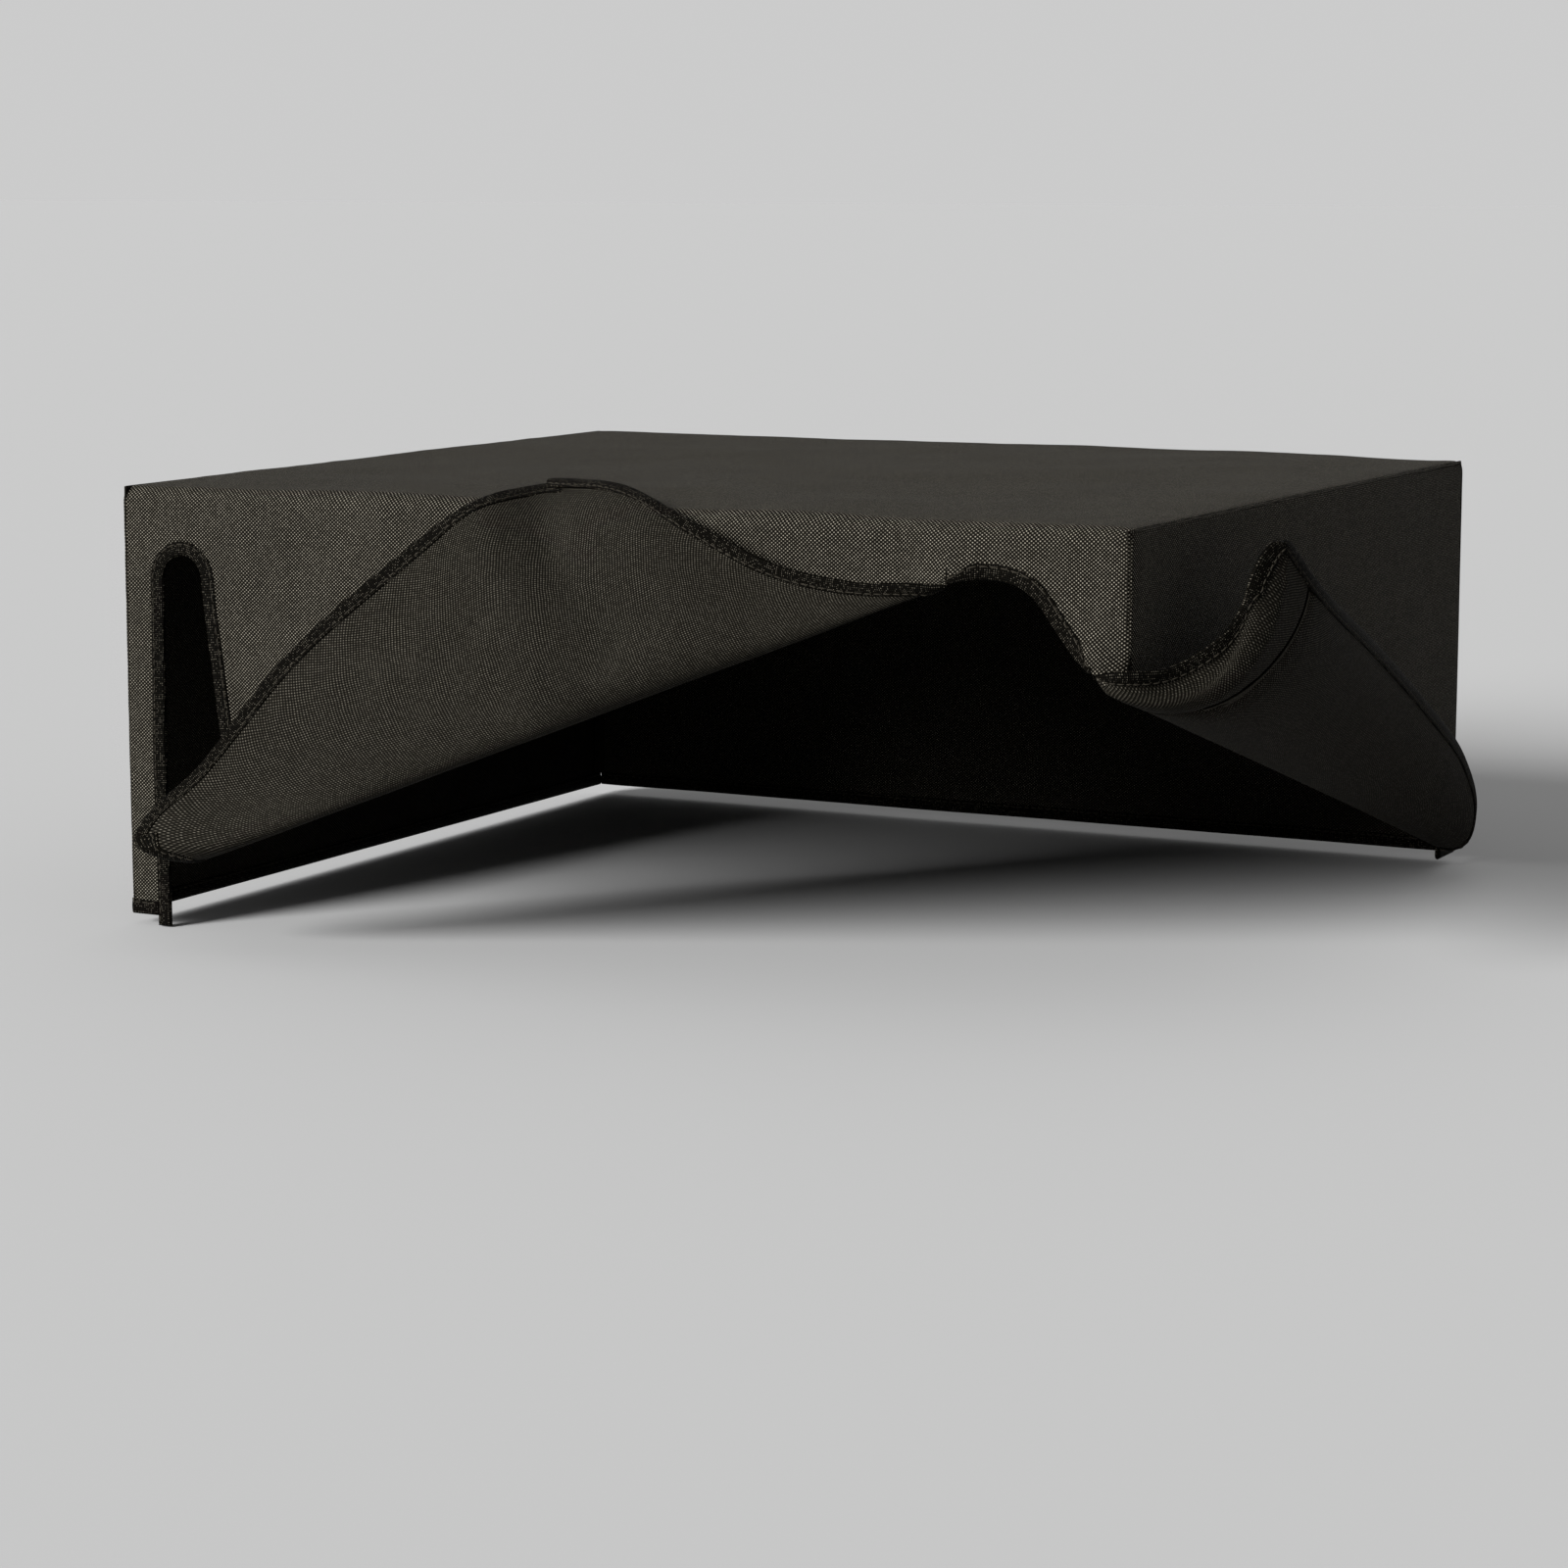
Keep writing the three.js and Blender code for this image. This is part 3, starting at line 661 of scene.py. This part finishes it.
def woven(name, gap_and_painted_shade, thread, painted_glint_and_wear, pitch, rough, specular, sheen, wear, sparse, angle=0.0):
    """Plain-woven cloth: crossing threads in relief, uneven threads, slow changes of tone and rubbed places.

    Colours are those between the threads (with painted shade in the gaps), on them, and a painted highlight
    on their crowns, which also colours rubbed places and tints the sheen. pitch is in millimetres, and a
    higher sparse leaves more crowns without the painted highlight.
    """
    pitch_u, pitch_v = (x * MM for x in pitch)
    material = bpy.data.materials.new(name)
    material.use_nodes = True
    tree = material.node_tree
    tree.nodes.clear()
    out = node(tree, "ShaderNodeOutputMaterial")
    shader = node(tree, "ShaderNodeBsdfPrincipled")
    tree.links.new(shader.outputs[0], out.inputs[0])
    uv = node(tree, "ShaderNodeUVMap", uv_map="Weave").outputs[0]
    place = node(tree, "ShaderNodeTexCoord").outputs["Object"]
    over, uneven, slubs = crossing(tree, uv, pitch_u, pitch_v, angle)
    # Darker between the threads: dark cloth seen in the gaps, with painted shade there as well.
    lit = ramp(tree, over, -0.35, 0.75)
    mottled = noise_node(tree, place, 14, 4, 0.6)
    cloudy = noise_node(tree, place, 55, 3, 0.55)
    base = mix_colour(tree, lit, gap_and_painted_shade, thread)
    # Painted highlight: a light glint colour is mixed into the base colour on the thread crowns, in place of
    # real glints.
    crowns = ramp(tree, over, 0.45, 0.95)
    painted_glint_mask = math_node(tree, "MULTIPLY", crowns, ramp(tree, uneven, sparse, 1.0))
    base = mix_colour(tree, math_node(tree, "MULTIPLY", painted_glint_mask, 0.75), base, painted_glint_and_wear)
    clouds = math_node(tree, "MULTIPLY", cloudy, 0.35)
    tone = math_node(tree, "ADD", math_node(tree, "MULTIPLY", mottled, 0.5), clouds)
    tone = math_node(tree, "ADD", tone, math_node(tree, "MULTIPLY", slubs, 0.25))
    shade = node(tree, "ShaderNodeMix", data_type="RGBA", blend_type="MULTIPLY")
    shade.inputs[0].default_value = 1.0
    tree.links.new(base, shade.inputs[6])
    grey = node(tree, "ShaderNodeCombineColor")
    level = ramp(tree, tone, 0.25, 0.85)
    level = math_node(tree, "ADD", math_node(tree, "MULTIPLY", level, 0.36), 0.8)
    for socket in grey.inputs:
        tree.links.new(level, socket)
    tree.links.new(grey.outputs[0], shade.inputs[7])
    rubbed = ramp(tree, noise_node(tree, place, 32, 5, 0.65), 0.56, 0.78)
    colour = mix_colour(tree, math_node(tree, "MULTIPLY", rubbed, wear), shade.outputs[2], painted_glint_and_wear)
    tree.links.new(colour, shader.inputs["Base Color"])
    roughness = math_node(tree, "ADD", math_node(tree, "MULTIPLY", mottled, 0.22), rough - 0.11)
    roughness = math_node(tree, "SUBTRACT", roughness, math_node(tree, "MULTIPLY", painted_glint_mask, 0.12), clamp=True)
    tree.links.new(roughness, shader.inputs["Roughness"])
    shader.inputs["Sheen Weight"].default_value = sheen
    shader.inputs["Sheen Roughness"].default_value = 0.35
    shader.inputs["Sheen Tint"].default_value = (*painted_glint_and_wear, 1)
    shader.inputs["Specular IOR Level"].default_value = specular
    fuzz = noise_node(tree, uv, 5200, 2, 0.6)
    fuzz = math_node(tree, "MULTIPLY", fuzz, 0.35)
    height = math_node(tree, "ADD", math_node(tree, "MULTIPLY", over, 0.5), fuzz)
    height = math_node(tree, "ADD", height, math_node(tree, "MULTIPLY", slubs, 0.25))
    bump = node(tree, "ShaderNodeBump")
    bump.inputs["Strength"].default_value = 0.8
    bump.inputs["Distance"].default_value = RELIEF * MM
    tree.links.new(height, bump.inputs["Height"])
    tree.links.new(bump.outputs[0], shader.inputs["Normal"])
    return material


outside = woven(
    "cloth_outside", (0.0012, 0.001, 0.0007), (0.016, 0.0143, 0.0108), (0.27, 0.248, 0.2),
    (1.5, 1.3), rough=0.62, specular=0.012, sheen=0.004, wear=0.012, sparse=-0.5,
)
inside = woven(
    "cloth_inside", (0.0014, 0.0012, 0.0008), (0.0115, 0.0102, 0.0076), (0.1, 0.092, 0.074),
    (1.5, 1.15), rough=0.66, specular=0.015, sheen=0.004, sparse=-0.2, wear=0.025,
)
tape = woven(
    "binding_tape", (0.0002, 0.0002, 0.0001), (0.0022, 0.0017, 0.001), (0.12, 0.108, 0.084),
    (1.05, 1.0), rough=0.6, specular=0.015, sheen=0.003, angle=math.radians(45), sparse=0.45, wear=0.006,
)
thread = woven(
    "binding_thread", (0.002, 0.0017, 0.0012), (0.014, 0.0122, 0.009), (0.08, 0.072, 0.057),
    (0.4, 0.4), rough=0.6, specular=0.03, sheen=0.004, wear=0.03, sparse=0.35, angle=math.radians(30),
)
CLOTHS = [outside, inside]
TAPES = [tape, thread]


# ---------------------------------------------------------------- the wrap: front, top and back in one cloth
def spaced(*runs):
    """Stations joined from runs of (from, to, step)."""
    out = []
    for a, b, step in runs:
        n = max(int(round(abs(b - a) / step)), 1)
        out += list(np.linspace(a, b, n + 1))[:-1]
    out.append(runs[-1][1])
    return np.array(out)


EDGE_IN = [0.7, 1.2, 1.9, 2.8, 4.2, 6.2, 9.0]
slot_angles = np.linspace(0.985 * math.pi, 0.015 * math.pi, 22)
SLOT_CLOTH = LEFT_SLOT_R + TUCK
slot_xs = LEFT_SLOT_X + SLOT_CLOTH * np.cos(slot_angles)
flap_left = FLAP_ROOT[0][0] + TUCK
flap_xs = spaced((flap_left, -150.5, 1.6), (-150.5, -120, 3), (-120, 110, 4.6), (110, FLAP_ROOT[1][0], 2.4))
arch_xs = spaced((FLAP_ROOT[1][0] + 0.8, RIGHT - EDGE_IN[-1] - 1, 1.5))
xs = np.concatenate([
    [-RIGHT + d for d in EDGE_IN[:-1]], [-187.6], slot_xs[:-1], flap_xs, arch_xs,
    [RIGHT - d for d in reversed(EDGE_IN)],
])
xs = np.unique(np.round(xs, 4))
arch_at = np.linspace(0, arch.length, 160)
arch_cloth = on_arch(arch_at, (TUCK - 0.6) * narrowing(arch_at) * narrowing(arch.length - arch_at))
side_lead = side_corner.fold.points[::-1]
side_lead = side_lead[side_lead[:, 1] < -178]


def header_foot(x):
    slot = LEFT_SLOT_Z + np.sqrt(np.maximum(SLOT_CLOTH**2 - (x - LEFT_SLOT_X) ** 2, 0))
    root = FLAP_ROOT[0][2] + (FLAP_ROOT[1][2] - FLAP_ROOT[0][2]) * (x - FLAP_ROOT[0][0]) / FLAP_SPAN
    arched = np.interp(x, arch_cloth[:, 0], arch_cloth[:, 2])
    foot = np.where(x < LEFT_SLOT_X + SLOT_CLOTH, slot, root)
    turned = np.interp(x, side_lead[:, 0], side_lead[:, 2])
    arched = arched + (turned - arched) * smooth(x, 185.5, 190)
    foot = np.where(x > FLAP_ROOT[1][0], arched, foot)
    on_flap = (x >= flap_left - 1e-3) & (x <= FLAP_ROOT[1][0])
    return np.where(on_flap, root, foot)


def front_grid(stations, top, foot, rows):
    t = np.linspace(0, 1, rows)[None, :]
    z = top[:, None] * (1 - t) + foot[:, None] * t
    x = np.broadcast_to(stations[:, None], z.shape)
    return np.stack([x, np.full_like(z, MID_FRONT), z], -1)


def front_uv(grid):
    return np.stack([grid[..., 0], grid[..., 2]], -1)


def over_top(x, s):
    """Front crease, top and back crease, then down the back, by length from the foot of the front crease."""
    radius = CREASE - CLOTH / 2
    quarter = radius * math.pi / 2
    run = BACK - FRONT - 2 * CREASE
    a = np.clip(s / radius, 0, math.pi / 2)
    b = np.clip((s - quarter - run) / radius, 0, math.pi / 2)
    flat = np.clip(s - quarter, 0, run)
    down = np.maximum(s - 2 * quarter - run, 0)
    y = FRONT + CREASE - radius * np.cos(a) + flat + radius * np.sin(b)
    z = BEND + radius * np.sin(a) - radius * (1 - np.cos(b)) - down
    x, y, z = np.broadcast_arrays(x, y, z)
    return np.stack([x, y, z], -1)


quarter = (CREASE - CLOTH / 2) * math.pi / 2
top_run = BACK - FRONT - 2 * CREASE
top_length = 2 * quarter + top_run
over = spaced(
    (0, quarter, 1.4), (quarter, quarter + 12, 3), (quarter + 12, quarter + top_run - 12, 8),
    (quarter + top_run - 12, quarter + top_run, 3), (quarter + top_run, top_length, 1.4),
    (top_length, top_length + BEND - TUCK, 7),
)
top_grid = over_top(xs[:, None], over[None, :])
top_uv = np.stack(np.broadcast_arrays(xs[:, None], BEND + over[None, :]), -1)
header = front_grid(xs, np.full(len(xs), BEND), header_foot(xs), 24)
forward = smooth(xs, 184, 190) * (MID_FRONT - np.interp(xs, side_lead[:, 0], side_lead[:, 1]))
to_foot = 1 - smooth(header[..., 2] - header[:, -1:, 2], 0, 11)
header[..., 1] -= forward[:, None] * to_foot
strip_xs = xs[xs <= STRIP_EDGE - TAPE_WIDTH + 0.5]
strip = front_grid(strip_xs, header_foot(strip_xs), np.full(len(strip_xs), TUCK), 26)

# The flap and its turned-up corner share one grid, cut between their bodies just above the fold.
flap_us = xs[(xs >= flap_left - 1e-3) & (xs <= FLAP_ROOT[1][0] + 1e-3)] - FLAP_ROOT[0][0]
FOLD_BAND = 7.0
depths = np.linalg.norm(flap(flap_us, 0 * flap_us) - flap(flap_us, 0 * flap_us + 1), axis=-1)
hem_cut = 1 - TUCK / depths
lowest = np.where(flap_us < FLAP_LEFT_REACH, hem_cut, 1.0)
cut = np.maximum(1 - FOLD_BAND / depths, 0.25)
upper_v = cut[:, None] * np.linspace(0, 1, 22)[None, :]
flap_upper = flap(flap_us[:, None], np.minimum(upper_v, lowest[:, None]))
lower_v = cut[:, None] + (lowest - cut)[:, None] * np.linspace(0, 1, 7)[None, :]
flap_lower = flap(flap_us[:, None], lower_v)


def walked(grid, first):
    """Weave coordinates: across by x at the first row, down by length walked from it."""
    steps = np.linalg.norm(np.diff(grid, axis=1), axis=-1)
    down = np.concatenate([np.zeros((len(grid), 1)), np.cumsum(steps, axis=1)], axis=1)
    u = np.broadcast_to(first[:, :1], down.shape)
    return np.stack([u, first[:, 1:2] - down], -1)


root_uv = np.stack([flap_us + FLAP_ROOT[0][0], flap_upper[:, 0, 2]], -1)
flap_upper_uv = walked(flap_upper, root_uv)
flap_lower_uv = walked(flap_lower, flap_upper_uv[:, -1])

# Turned part: stations on the fold matched to the flap's own.
on_fold = flap_us >= FLAP_LEFT_REACH
fold_us = flap_us[on_fold]
alongs = (fold_us - FLAP_LEFT_REACH) / (FLAP_SPAN - FLAP_LEFT_REACH) * flap_corner.length

# The turned cloth runs under its bindings, this far from the rim in the flat.
UNDER = 1.3


def corner_grid(corner, stations, slot_in, rows=46):
    """The turned cloth between its fold, its hem binding and a line beside its slot edge."""
    hem_start = UNDER / corner.sin
    slot_end = corner.length - slot_in / corner.cos
    on_fold = stations[(stations > hem_start + 1) & (stations < slot_end - 1)]
    stations = np.concatenate([[hem_start], on_fold, [slot_end]])
    hem_side = (stations - hem_start) * corner.sin / corner.cos
    slot_side = (slot_end - stations) * corner.cos / corner.sin
    above = np.maximum(np.minimum(hem_side, slot_side), 0)[:, None] * np.linspace(0, 1, rows)[None, :]
    grid = corner.surface(stations[:, None], above)
    along = np.broadcast_to(stations[:, None], above.shape)
    by_hem = along * corner.cos + above * corner.sin
    from_hem = along * corner.sin - above * corner.cos
    return grid, np.stack([by_hem, from_hem], -1)


turned, turned_uv = corner_grid(flap_corner, alongs, UNDER)

# Under the right front corner the header and the side panel part to meet the side fold: this joins them.
gusset_side = right_side(FRONT + EDGE_IN[0], np.linspace(0.78, 1, 9))
gusset = lerp(header[-1, -9:][:, None], gusset_side[:, None], np.linspace(0, 1, 4)[None, :])


def wrap_sheet(own_cover):
    sheet = Sheet()
    sheet.patch(gusset.swapaxes(0, 1), gusset[..., [1, 2]].swapaxes(0, 1), own_cover, flip=True)
    sheet.patch(top_grid, top_uv, own_cover)
    sheet.patch(header, front_uv(header), own_cover, flip=True)
    sheet.patch(strip, front_uv(strip), own_cover, flip=True)
    sheet.patch(flap_upper, flap_upper_uv, own_cover, flip=True)
    left = flap_us < FLAP_LEFT_REACH + 3.5
    sheet.patch(flap_lower[left], flap_lower_uv[left], own_cover, flip=True)
    right = flap_us >= flap_us[left][-1]
    sheet.patch(flap_lower[right], flap_lower_uv[right], not own_cover, flip=True)
    sheet.patch(turned, turned_uv, not own_cover, flip=True)
    return sheet


wrap = wrap_sheet(True).build("wrap_cloth", CLOTHS, wrap_dip)
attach(wrap, "cover")
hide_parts("top_panel", "front_header", "left_strip", "front_flap", "back_panel")

flap_cloth = wrap_sheet(False).build("flap_corner_cloth", CLOTHS, wrap_dip)
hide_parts("flap_corner_turned")


def across_fold(ob, child, fold, out, back, ahead):
    """Bakes the piece's transform. A fold line and the way out of it are worked out but not used, and the
    piece is not bent over the fold.
    """
    line = unit(fold[1] - fold[0])
    out = np.array(out, float)
    out = unit(out - line * np.dot(out, line))
    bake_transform(ob)


# The turned body, its fold, the way out of it, and how far the bend reaches back and ahead.
FLAP_BEND = ("flap_corner", FLAP_FOLD, (0, -1, 0.8), 4.5, 5)
SIDE_BEND = ("side_corner", SIDE_FOLD, (1, 0, 0), 0.4, 5)
across_fold(flap_cloth, *FLAP_BEND)

# ---------------------------------------------------------------- sides
side_zs = spaced((HEIGHT - 0.7, HEIGHT - 3, 0.7), (HEIGHT - 3, HEIGHT - 9, 2), (HEIGHT - 9, TUCK, 6))
side_ys = np.concatenate([
    [FRONT + d for d in EDGE_IN], spaced((FRONT + 15, BACK - 15, 6)), [BACK - d for d in reversed(EDGE_IN)],
])
y_grid, z_grid = np.meshgrid(side_ys, side_zs, indexing="ij")
left_grid = np.stack([np.full_like(y_grid, -MID_RIGHT), y_grid, z_grid], -1)
left_sheet = Sheet().patch(left_grid, np.stack([y_grid, z_grid], -1))
left_side = left_sheet.build("left_side_cloth", CLOTHS, side_dip)
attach(left_side, "cover")
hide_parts("left_side_panel")

last_fold = np.searchsorted(side_ys, SIDE_FOLD[1][1] - 1)
fold_ys = side_ys[:last_fold]
side_fs = (fold_ys - SIDE_FOLD[0][1]) / (SIDE_FOLD[1][1] - SIDE_FOLD[0][1])
lead_length = side_corner.fold.length - np.linalg.norm(SIDE_FOLD[1] - SIDE_FOLD[0])
side_alongs = (1 - side_fs[::-1]) * (1 - lead_length / side_corner.fold.length) * side_corner.length
side_alongs = np.concatenate([side_alongs, np.linspace(side_alongs[-1], side_corner.length, 8)[1:]])
# The side corner takes over from the panel at this share of the way down to the fold.
SIDE_CUT = 0.9
vs_upper = np.concatenate([
    np.linspace(0, 0.02, 4)[:-1], np.linspace(0.02, 0.5, 16)[:-1], np.linspace(0.5, SIDE_CUT, 8),
])
upper_side = right_side(side_ys[:, None], vs_upper[None, :])
lower_side = right_side(side_ys[:, None], np.linspace(SIDE_CUT, 1.0, 5)[None, :])
side_turned, side_turned_uv = corner_grid(side_corner, side_alongs, STRIP_WIDTH, 30)


def side_sheet(own_cover):
    sheet = Sheet()
    for grid, own in (
        (upper_side, own_cover),
        (lower_side[last_fold - 1:], own_cover),
        (lower_side[:last_fold], not own_cover),
    ):
        sheet.patch(grid, grid[..., 1:], own, flip=True)
    return sheet.patch(side_turned, side_turned_uv, not own_cover)


right_panel = side_sheet(True).build("right_side_cloth", CLOTHS, side_dip)
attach(right_panel, "cover")
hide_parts("right_side_panel")
side_cloth = side_sheet(False).build("side_corner_cloth", CLOTHS, turned_seam_dip)
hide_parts("side_corner_turned")
across_fold(side_cloth, *SIDE_BEND)

es = np.linspace(0, side_corner.slot.length - UNDER, 70)
ins = np.concatenate([np.linspace(UNDER, STRIP_WIDTH - 3, 9), STRIP_WIDTH - np.array([1.8, 0.9, 0.05])])
strip_grid = side_corner.surface(*side_corner.flat_slot(es[:, None], ins[None, :]))
strip_uv = np.stack(np.broadcast_arrays(ins[None, :], es[:, None]), -1)
strip_sheet = Sheet().patch(strip_grid, strip_uv)
side_strip = strip_sheet.build("side_corner_strip_cloth", CLOTHS, turned_seam_dip)
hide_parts("side_corner_strip_turned")
across_fold(side_strip, *SIDE_BEND)


# ---------------------------------------------------------------- bindings
def finish_tape(ob, *nodes):
    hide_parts(*nodes)
    return ob


left_leg = LEFT_SLOT_Z + TAPE_TAIL
half_turn = math.pi * (LEFT_SLOT_R + 2.5)
RIGHT_LEG = 108.0


def left_slot_band(e, inward):
    """Up the strip, round the arch and down the flap's left edge, by length."""
    e, inward = np.broadcast_arrays(np.asarray(e, float), np.asarray(inward, float))
    up = np.stack([STRIP_EDGE - inward, np.full_like(e, MID_FRONT), e - TAPE_TAIL], -1)
    angle = math.pi * (1 - np.clip((e - left_leg) / half_turn, 0, 1))
    r = LEFT_SLOT_R + inward
    x, z = LEFT_SLOT_X + r * np.cos(angle), LEFT_SLOT_Z + r * np.sin(angle)
    round_it = np.stack([x, np.full_like(e, MID_FRONT), z], -1)
    down = flap(inward, np.clip((e - left_leg - half_turn) / RIGHT_LEG, 0, 1))
    out = np.where((e < left_leg)[..., None], up, round_it)
    return np.where((e > left_leg + half_turn)[..., None], down, out)


left_slot = binding("left_slot_binding", left_slot_band, 0, left_leg + half_turn + RIGHT_LEG, TAPES)
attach(left_slot, "cover")
finish_tape(left_slot, "left_strip_slot_tape", "left_slot_arch_tape", "front_flap_slot_tape")


def hem_band(points):
    """A straight hem between two points on a vertical wall."""
    a, b = (np.array(p, float) for p in points)
    length = np.linalg.norm(b - a)

    def band(e, inward):
        e, inward = np.broadcast_arrays(np.asarray(e, float), np.asarray(inward, float))
        return a + (b - a) * (e / length)[..., None] + np.array([0, 0, 1.0]) * inward[..., None]

    return band, length


# Each straight hem from x, y to x, y.
for name, start, end in (
    ("left_strip_hem", (-RIGHT + 1.4, MID_FRONT), (STRIP_EDGE - TAPE_WIDTH, MID_FRONT)),
    ("left_side_hem", (-MID_RIGHT, BACK - 2), (-MID_RIGHT, FRONT + 2)),
    ("back_hem", (RIGHT - 1.4, MID_BACK), (-RIGHT + 1.4, MID_BACK)),
    ("right_side_hem", (MID_RIGHT, 156), (MID_RIGHT, BACK - 2)),
):
    band, length = hem_band(((*start, 0), (*end, 0)))
    finish_tape(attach(binding(f"{name}_binding", band, 0, length, TAPES), "cover"), f"{name}_tape")

FOOT_LENGTH = float(np.linalg.norm(FLAP_FOLD[0] - FLAP_LEFT_FOOT))


def over_flap_fold(along, above):
    """A place on the flap's turned-up corner, or on the flap itself where it is below the fold line."""
    u = FLAP_LEFT_REACH + along / flap_corner.length * (FLAP_SPAN - FLAP_LEFT_REACH)
    deep = np.linalg.norm(flap(u, 0 * u) - flap(u, 0 * u + 1), axis=-1)
    on_flap = flap(u, 1 + np.minimum(above, 0) / deep)
    return np.where((above < 0)[..., None], on_flap, flap_corner.surface(along, above))


def flap_hem_band(e, inward):
    """The flap's hem from its left foot (negative e), over the fold, then up the turned corner."""
    e, inward = np.broadcast_arrays(np.asarray(e, float), np.asarray(inward, float))
    u = np.clip(FLAP_LEFT_REACH * (1 + e / FOOT_LENGTH), 0, FLAP_LEFT_REACH)
    deep = np.linalg.norm(flap(u, 0 * u) - flap(u, 0 * u + 1), axis=-1)
    foot = flap(u, 1 - inward / deep)
    return np.where((e < 0)[..., None], foot, over_flap_fold(*flap_corner.on_hem(np.maximum(e, 0), inward)))


def flap_slot_band(e, inward):
    return over_flap_fold(*flap_corner.on_slot(e, inward * narrowing(e)))


def side_slot_band(e, inward):
    return side_corner.surface(*side_corner.on_slot(e, inward * narrowing(e)))


def arch_band(s, inward):
    return on_arch(s, inward * narrowing(s) * narrowing(arch.length - s))


def side_hem_band(e, inward):
    return side_corner.surface(*side_corner.on_hem(e, inward))


right_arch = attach(binding("right_arch_binding", arch_band, -1.2, arch.length + 2, TAPES), "cover")
finish_tape(right_arch, "right_slot_arch_tape")
for name, band, start, end, nodes in (
    ("flap_hem_binding", flap_hem_band, -FOOT_LENGTH, flap_corner.hem.length - 0.5,
     ("front_flap_hem_tape", "flap_corner_hem_tape")),
    ("flap_slot_binding", flap_slot_band, 0, flap_corner.slot.length, ("flap_corner_slot_tape",)),
    ("side_hem_binding", side_hem_band, 0.5, side_corner.hem.length - 0.5, ("side_corner_hem_tape",)),
    ("side_slot_binding", side_slot_band, 0, side_corner.slot.length, ("side_corner_slot_tape",)),
):
    ob = finish_tape(binding(name, band, start, end, TAPES), *nodes)
    if name.startswith("flap"):
        across_fold(ob, *FLAP_BEND)
    else:
        across_fold(ob, *SIDE_BEND)


# ---------------------------------------------------------------- seam margins inside
def margin(name, grid, node_name, body="cover"):
    rows, columns = grid.shape[:2]
    lengths, widths = np.linspace(0, 300, rows), np.linspace(0, MARGIN_WIDTH, columns)
    uv = np.stack(np.meshgrid(lengths, widths, indexing="ij"), -1)
    ob = Sheet().patch(grid, uv).build(name, [inside, outside], thickness=0.7)
    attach(ob, body)
    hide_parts(node_name)


INSIDE_X = RIGHT - CLOTH - 1.2
widths = np.linspace(0, MARGIN_WIDTH, 6)
long_ys = np.linspace(FRONT + 12, BACK - 12, 90)
tall_zs = np.linspace(TAPE_WIDTH + 1, BEND - 6, 50)


def wavy(along, across):
    return (0.35 * np.sin(along / 9 + 0.7) + 0.15 * np.sin(along / 3.1)) * across / MARGIN_WIDTH


for side, sign in (("left", -1), ("right", 1)):
    y, w = np.meshgrid(long_ys, widths, indexing="ij")
    sunk = HEIGHT - CLOTH - 1.4 - 0.6 * w / MARGIN_WIDTH + wavy(y, w)
    top = np.stack([sign * (INSIDE_X - 0.8 - w), y, sunk], -1)
    margin(f"top_{side}_margin", top, f"top_{side}_seam_margin")
    z, w = np.meshgrid(tall_zs, widths, indexing="ij")
    back = np.stack([sign * (INSIDE_X + wavy(z, w) - 0.3), BACK - CLOTH - 0.3 - w, z], -1)
    margin(f"back_{side}_margin", back, f"back_{side}_seam_margin")
for side, sign, zs in (("left", -1, tall_zs), ("right", 1, np.linspace(124, BEND - 6, 14))):
    z, w = np.meshgrid(zs, widths, indexing="ij")
    x = sign * (INSIDE_X - 0.3) + wavy(z, w)
    front = np.stack([x, FRONT + CLOTH + 0.3 + w, z], -1)
    margin(f"front_{side}_margin", front, f"front_{side}_seam_margin")
e, w = np.meshgrid(
    np.linspace(26, side_corner.slot.length - TAPE_WIDTH - 1, 50),
    np.linspace(STRIP_WIDTH + 0.4, STRIP_WIDTH + MARGIN_WIDTH, 6), indexing="ij",
)


def on_corner(e, inward):
    return side_corner.surface(*side_corner.flat_slot(e, inward))


du = on_corner(e + 0.5, w) - on_corner(e - 0.5, w)
dv = on_corner(e, w + 0.5) - on_corner(e, w - 0.5)
raised = on_corner(e, w) + unit(np.cross(du, dv)) * 0.9
margin("side_corner_margin", raised, "side_corner_seam_margin", "side_corner")

# ---------------------------------------------------------------- floor, light and camera
floor_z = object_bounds()[0].z
bpy.ops.mesh.primitive_plane_add(size=60, location=(0, 0, floor_z - 0.0005))
floor = bpy.context.object
floor.name = "studio_floor"
pale = bpy.data.materials.new("studio_floor")
pale.use_nodes = True
pale.node_tree.nodes["Principled BSDF"].inputs["Base Color"].default_value = (0.292, 0.292, 0.292, 1)
pale.node_tree.nodes["Principled BSDF"].inputs["Roughness"].default_value = 0.9
floor.data.materials.append(pale)

world = bpy.data.worlds.new("studio")
world.use_nodes = True
world.node_tree.nodes["Background"].inputs[0].default_value = (1, 1, 1, 1)
world.node_tree.nodes["Background"].inputs[1].default_value = 0.6
bpy.context.scene.world = world

key = bpy.data.objects.new("key", bpy.data.lights.new("key", "SUN"))
key.data.energy = 10.5
key.data.angle = math.radians(24)
key.rotation_euler = (math.radians(68), 0, math.radians(-25))
bpy.context.scene.collection.objects.link(key)

camera = bpy.data.objects.new("camera", bpy.data.cameras.new("camera"))
camera.data.lens = 91.1
camera.data.sensor_width = 36
camera.location = (0.67936, -1.36593, 0.11495)
camera.rotation_euler = (math.radians(81.22), 0, math.radians(26.99))
bpy.context.scene.collection.objects.link(camera)
bpy.context.scene.camera = camera
bpy.context.scene.view_settings.view_transform = "Standard"
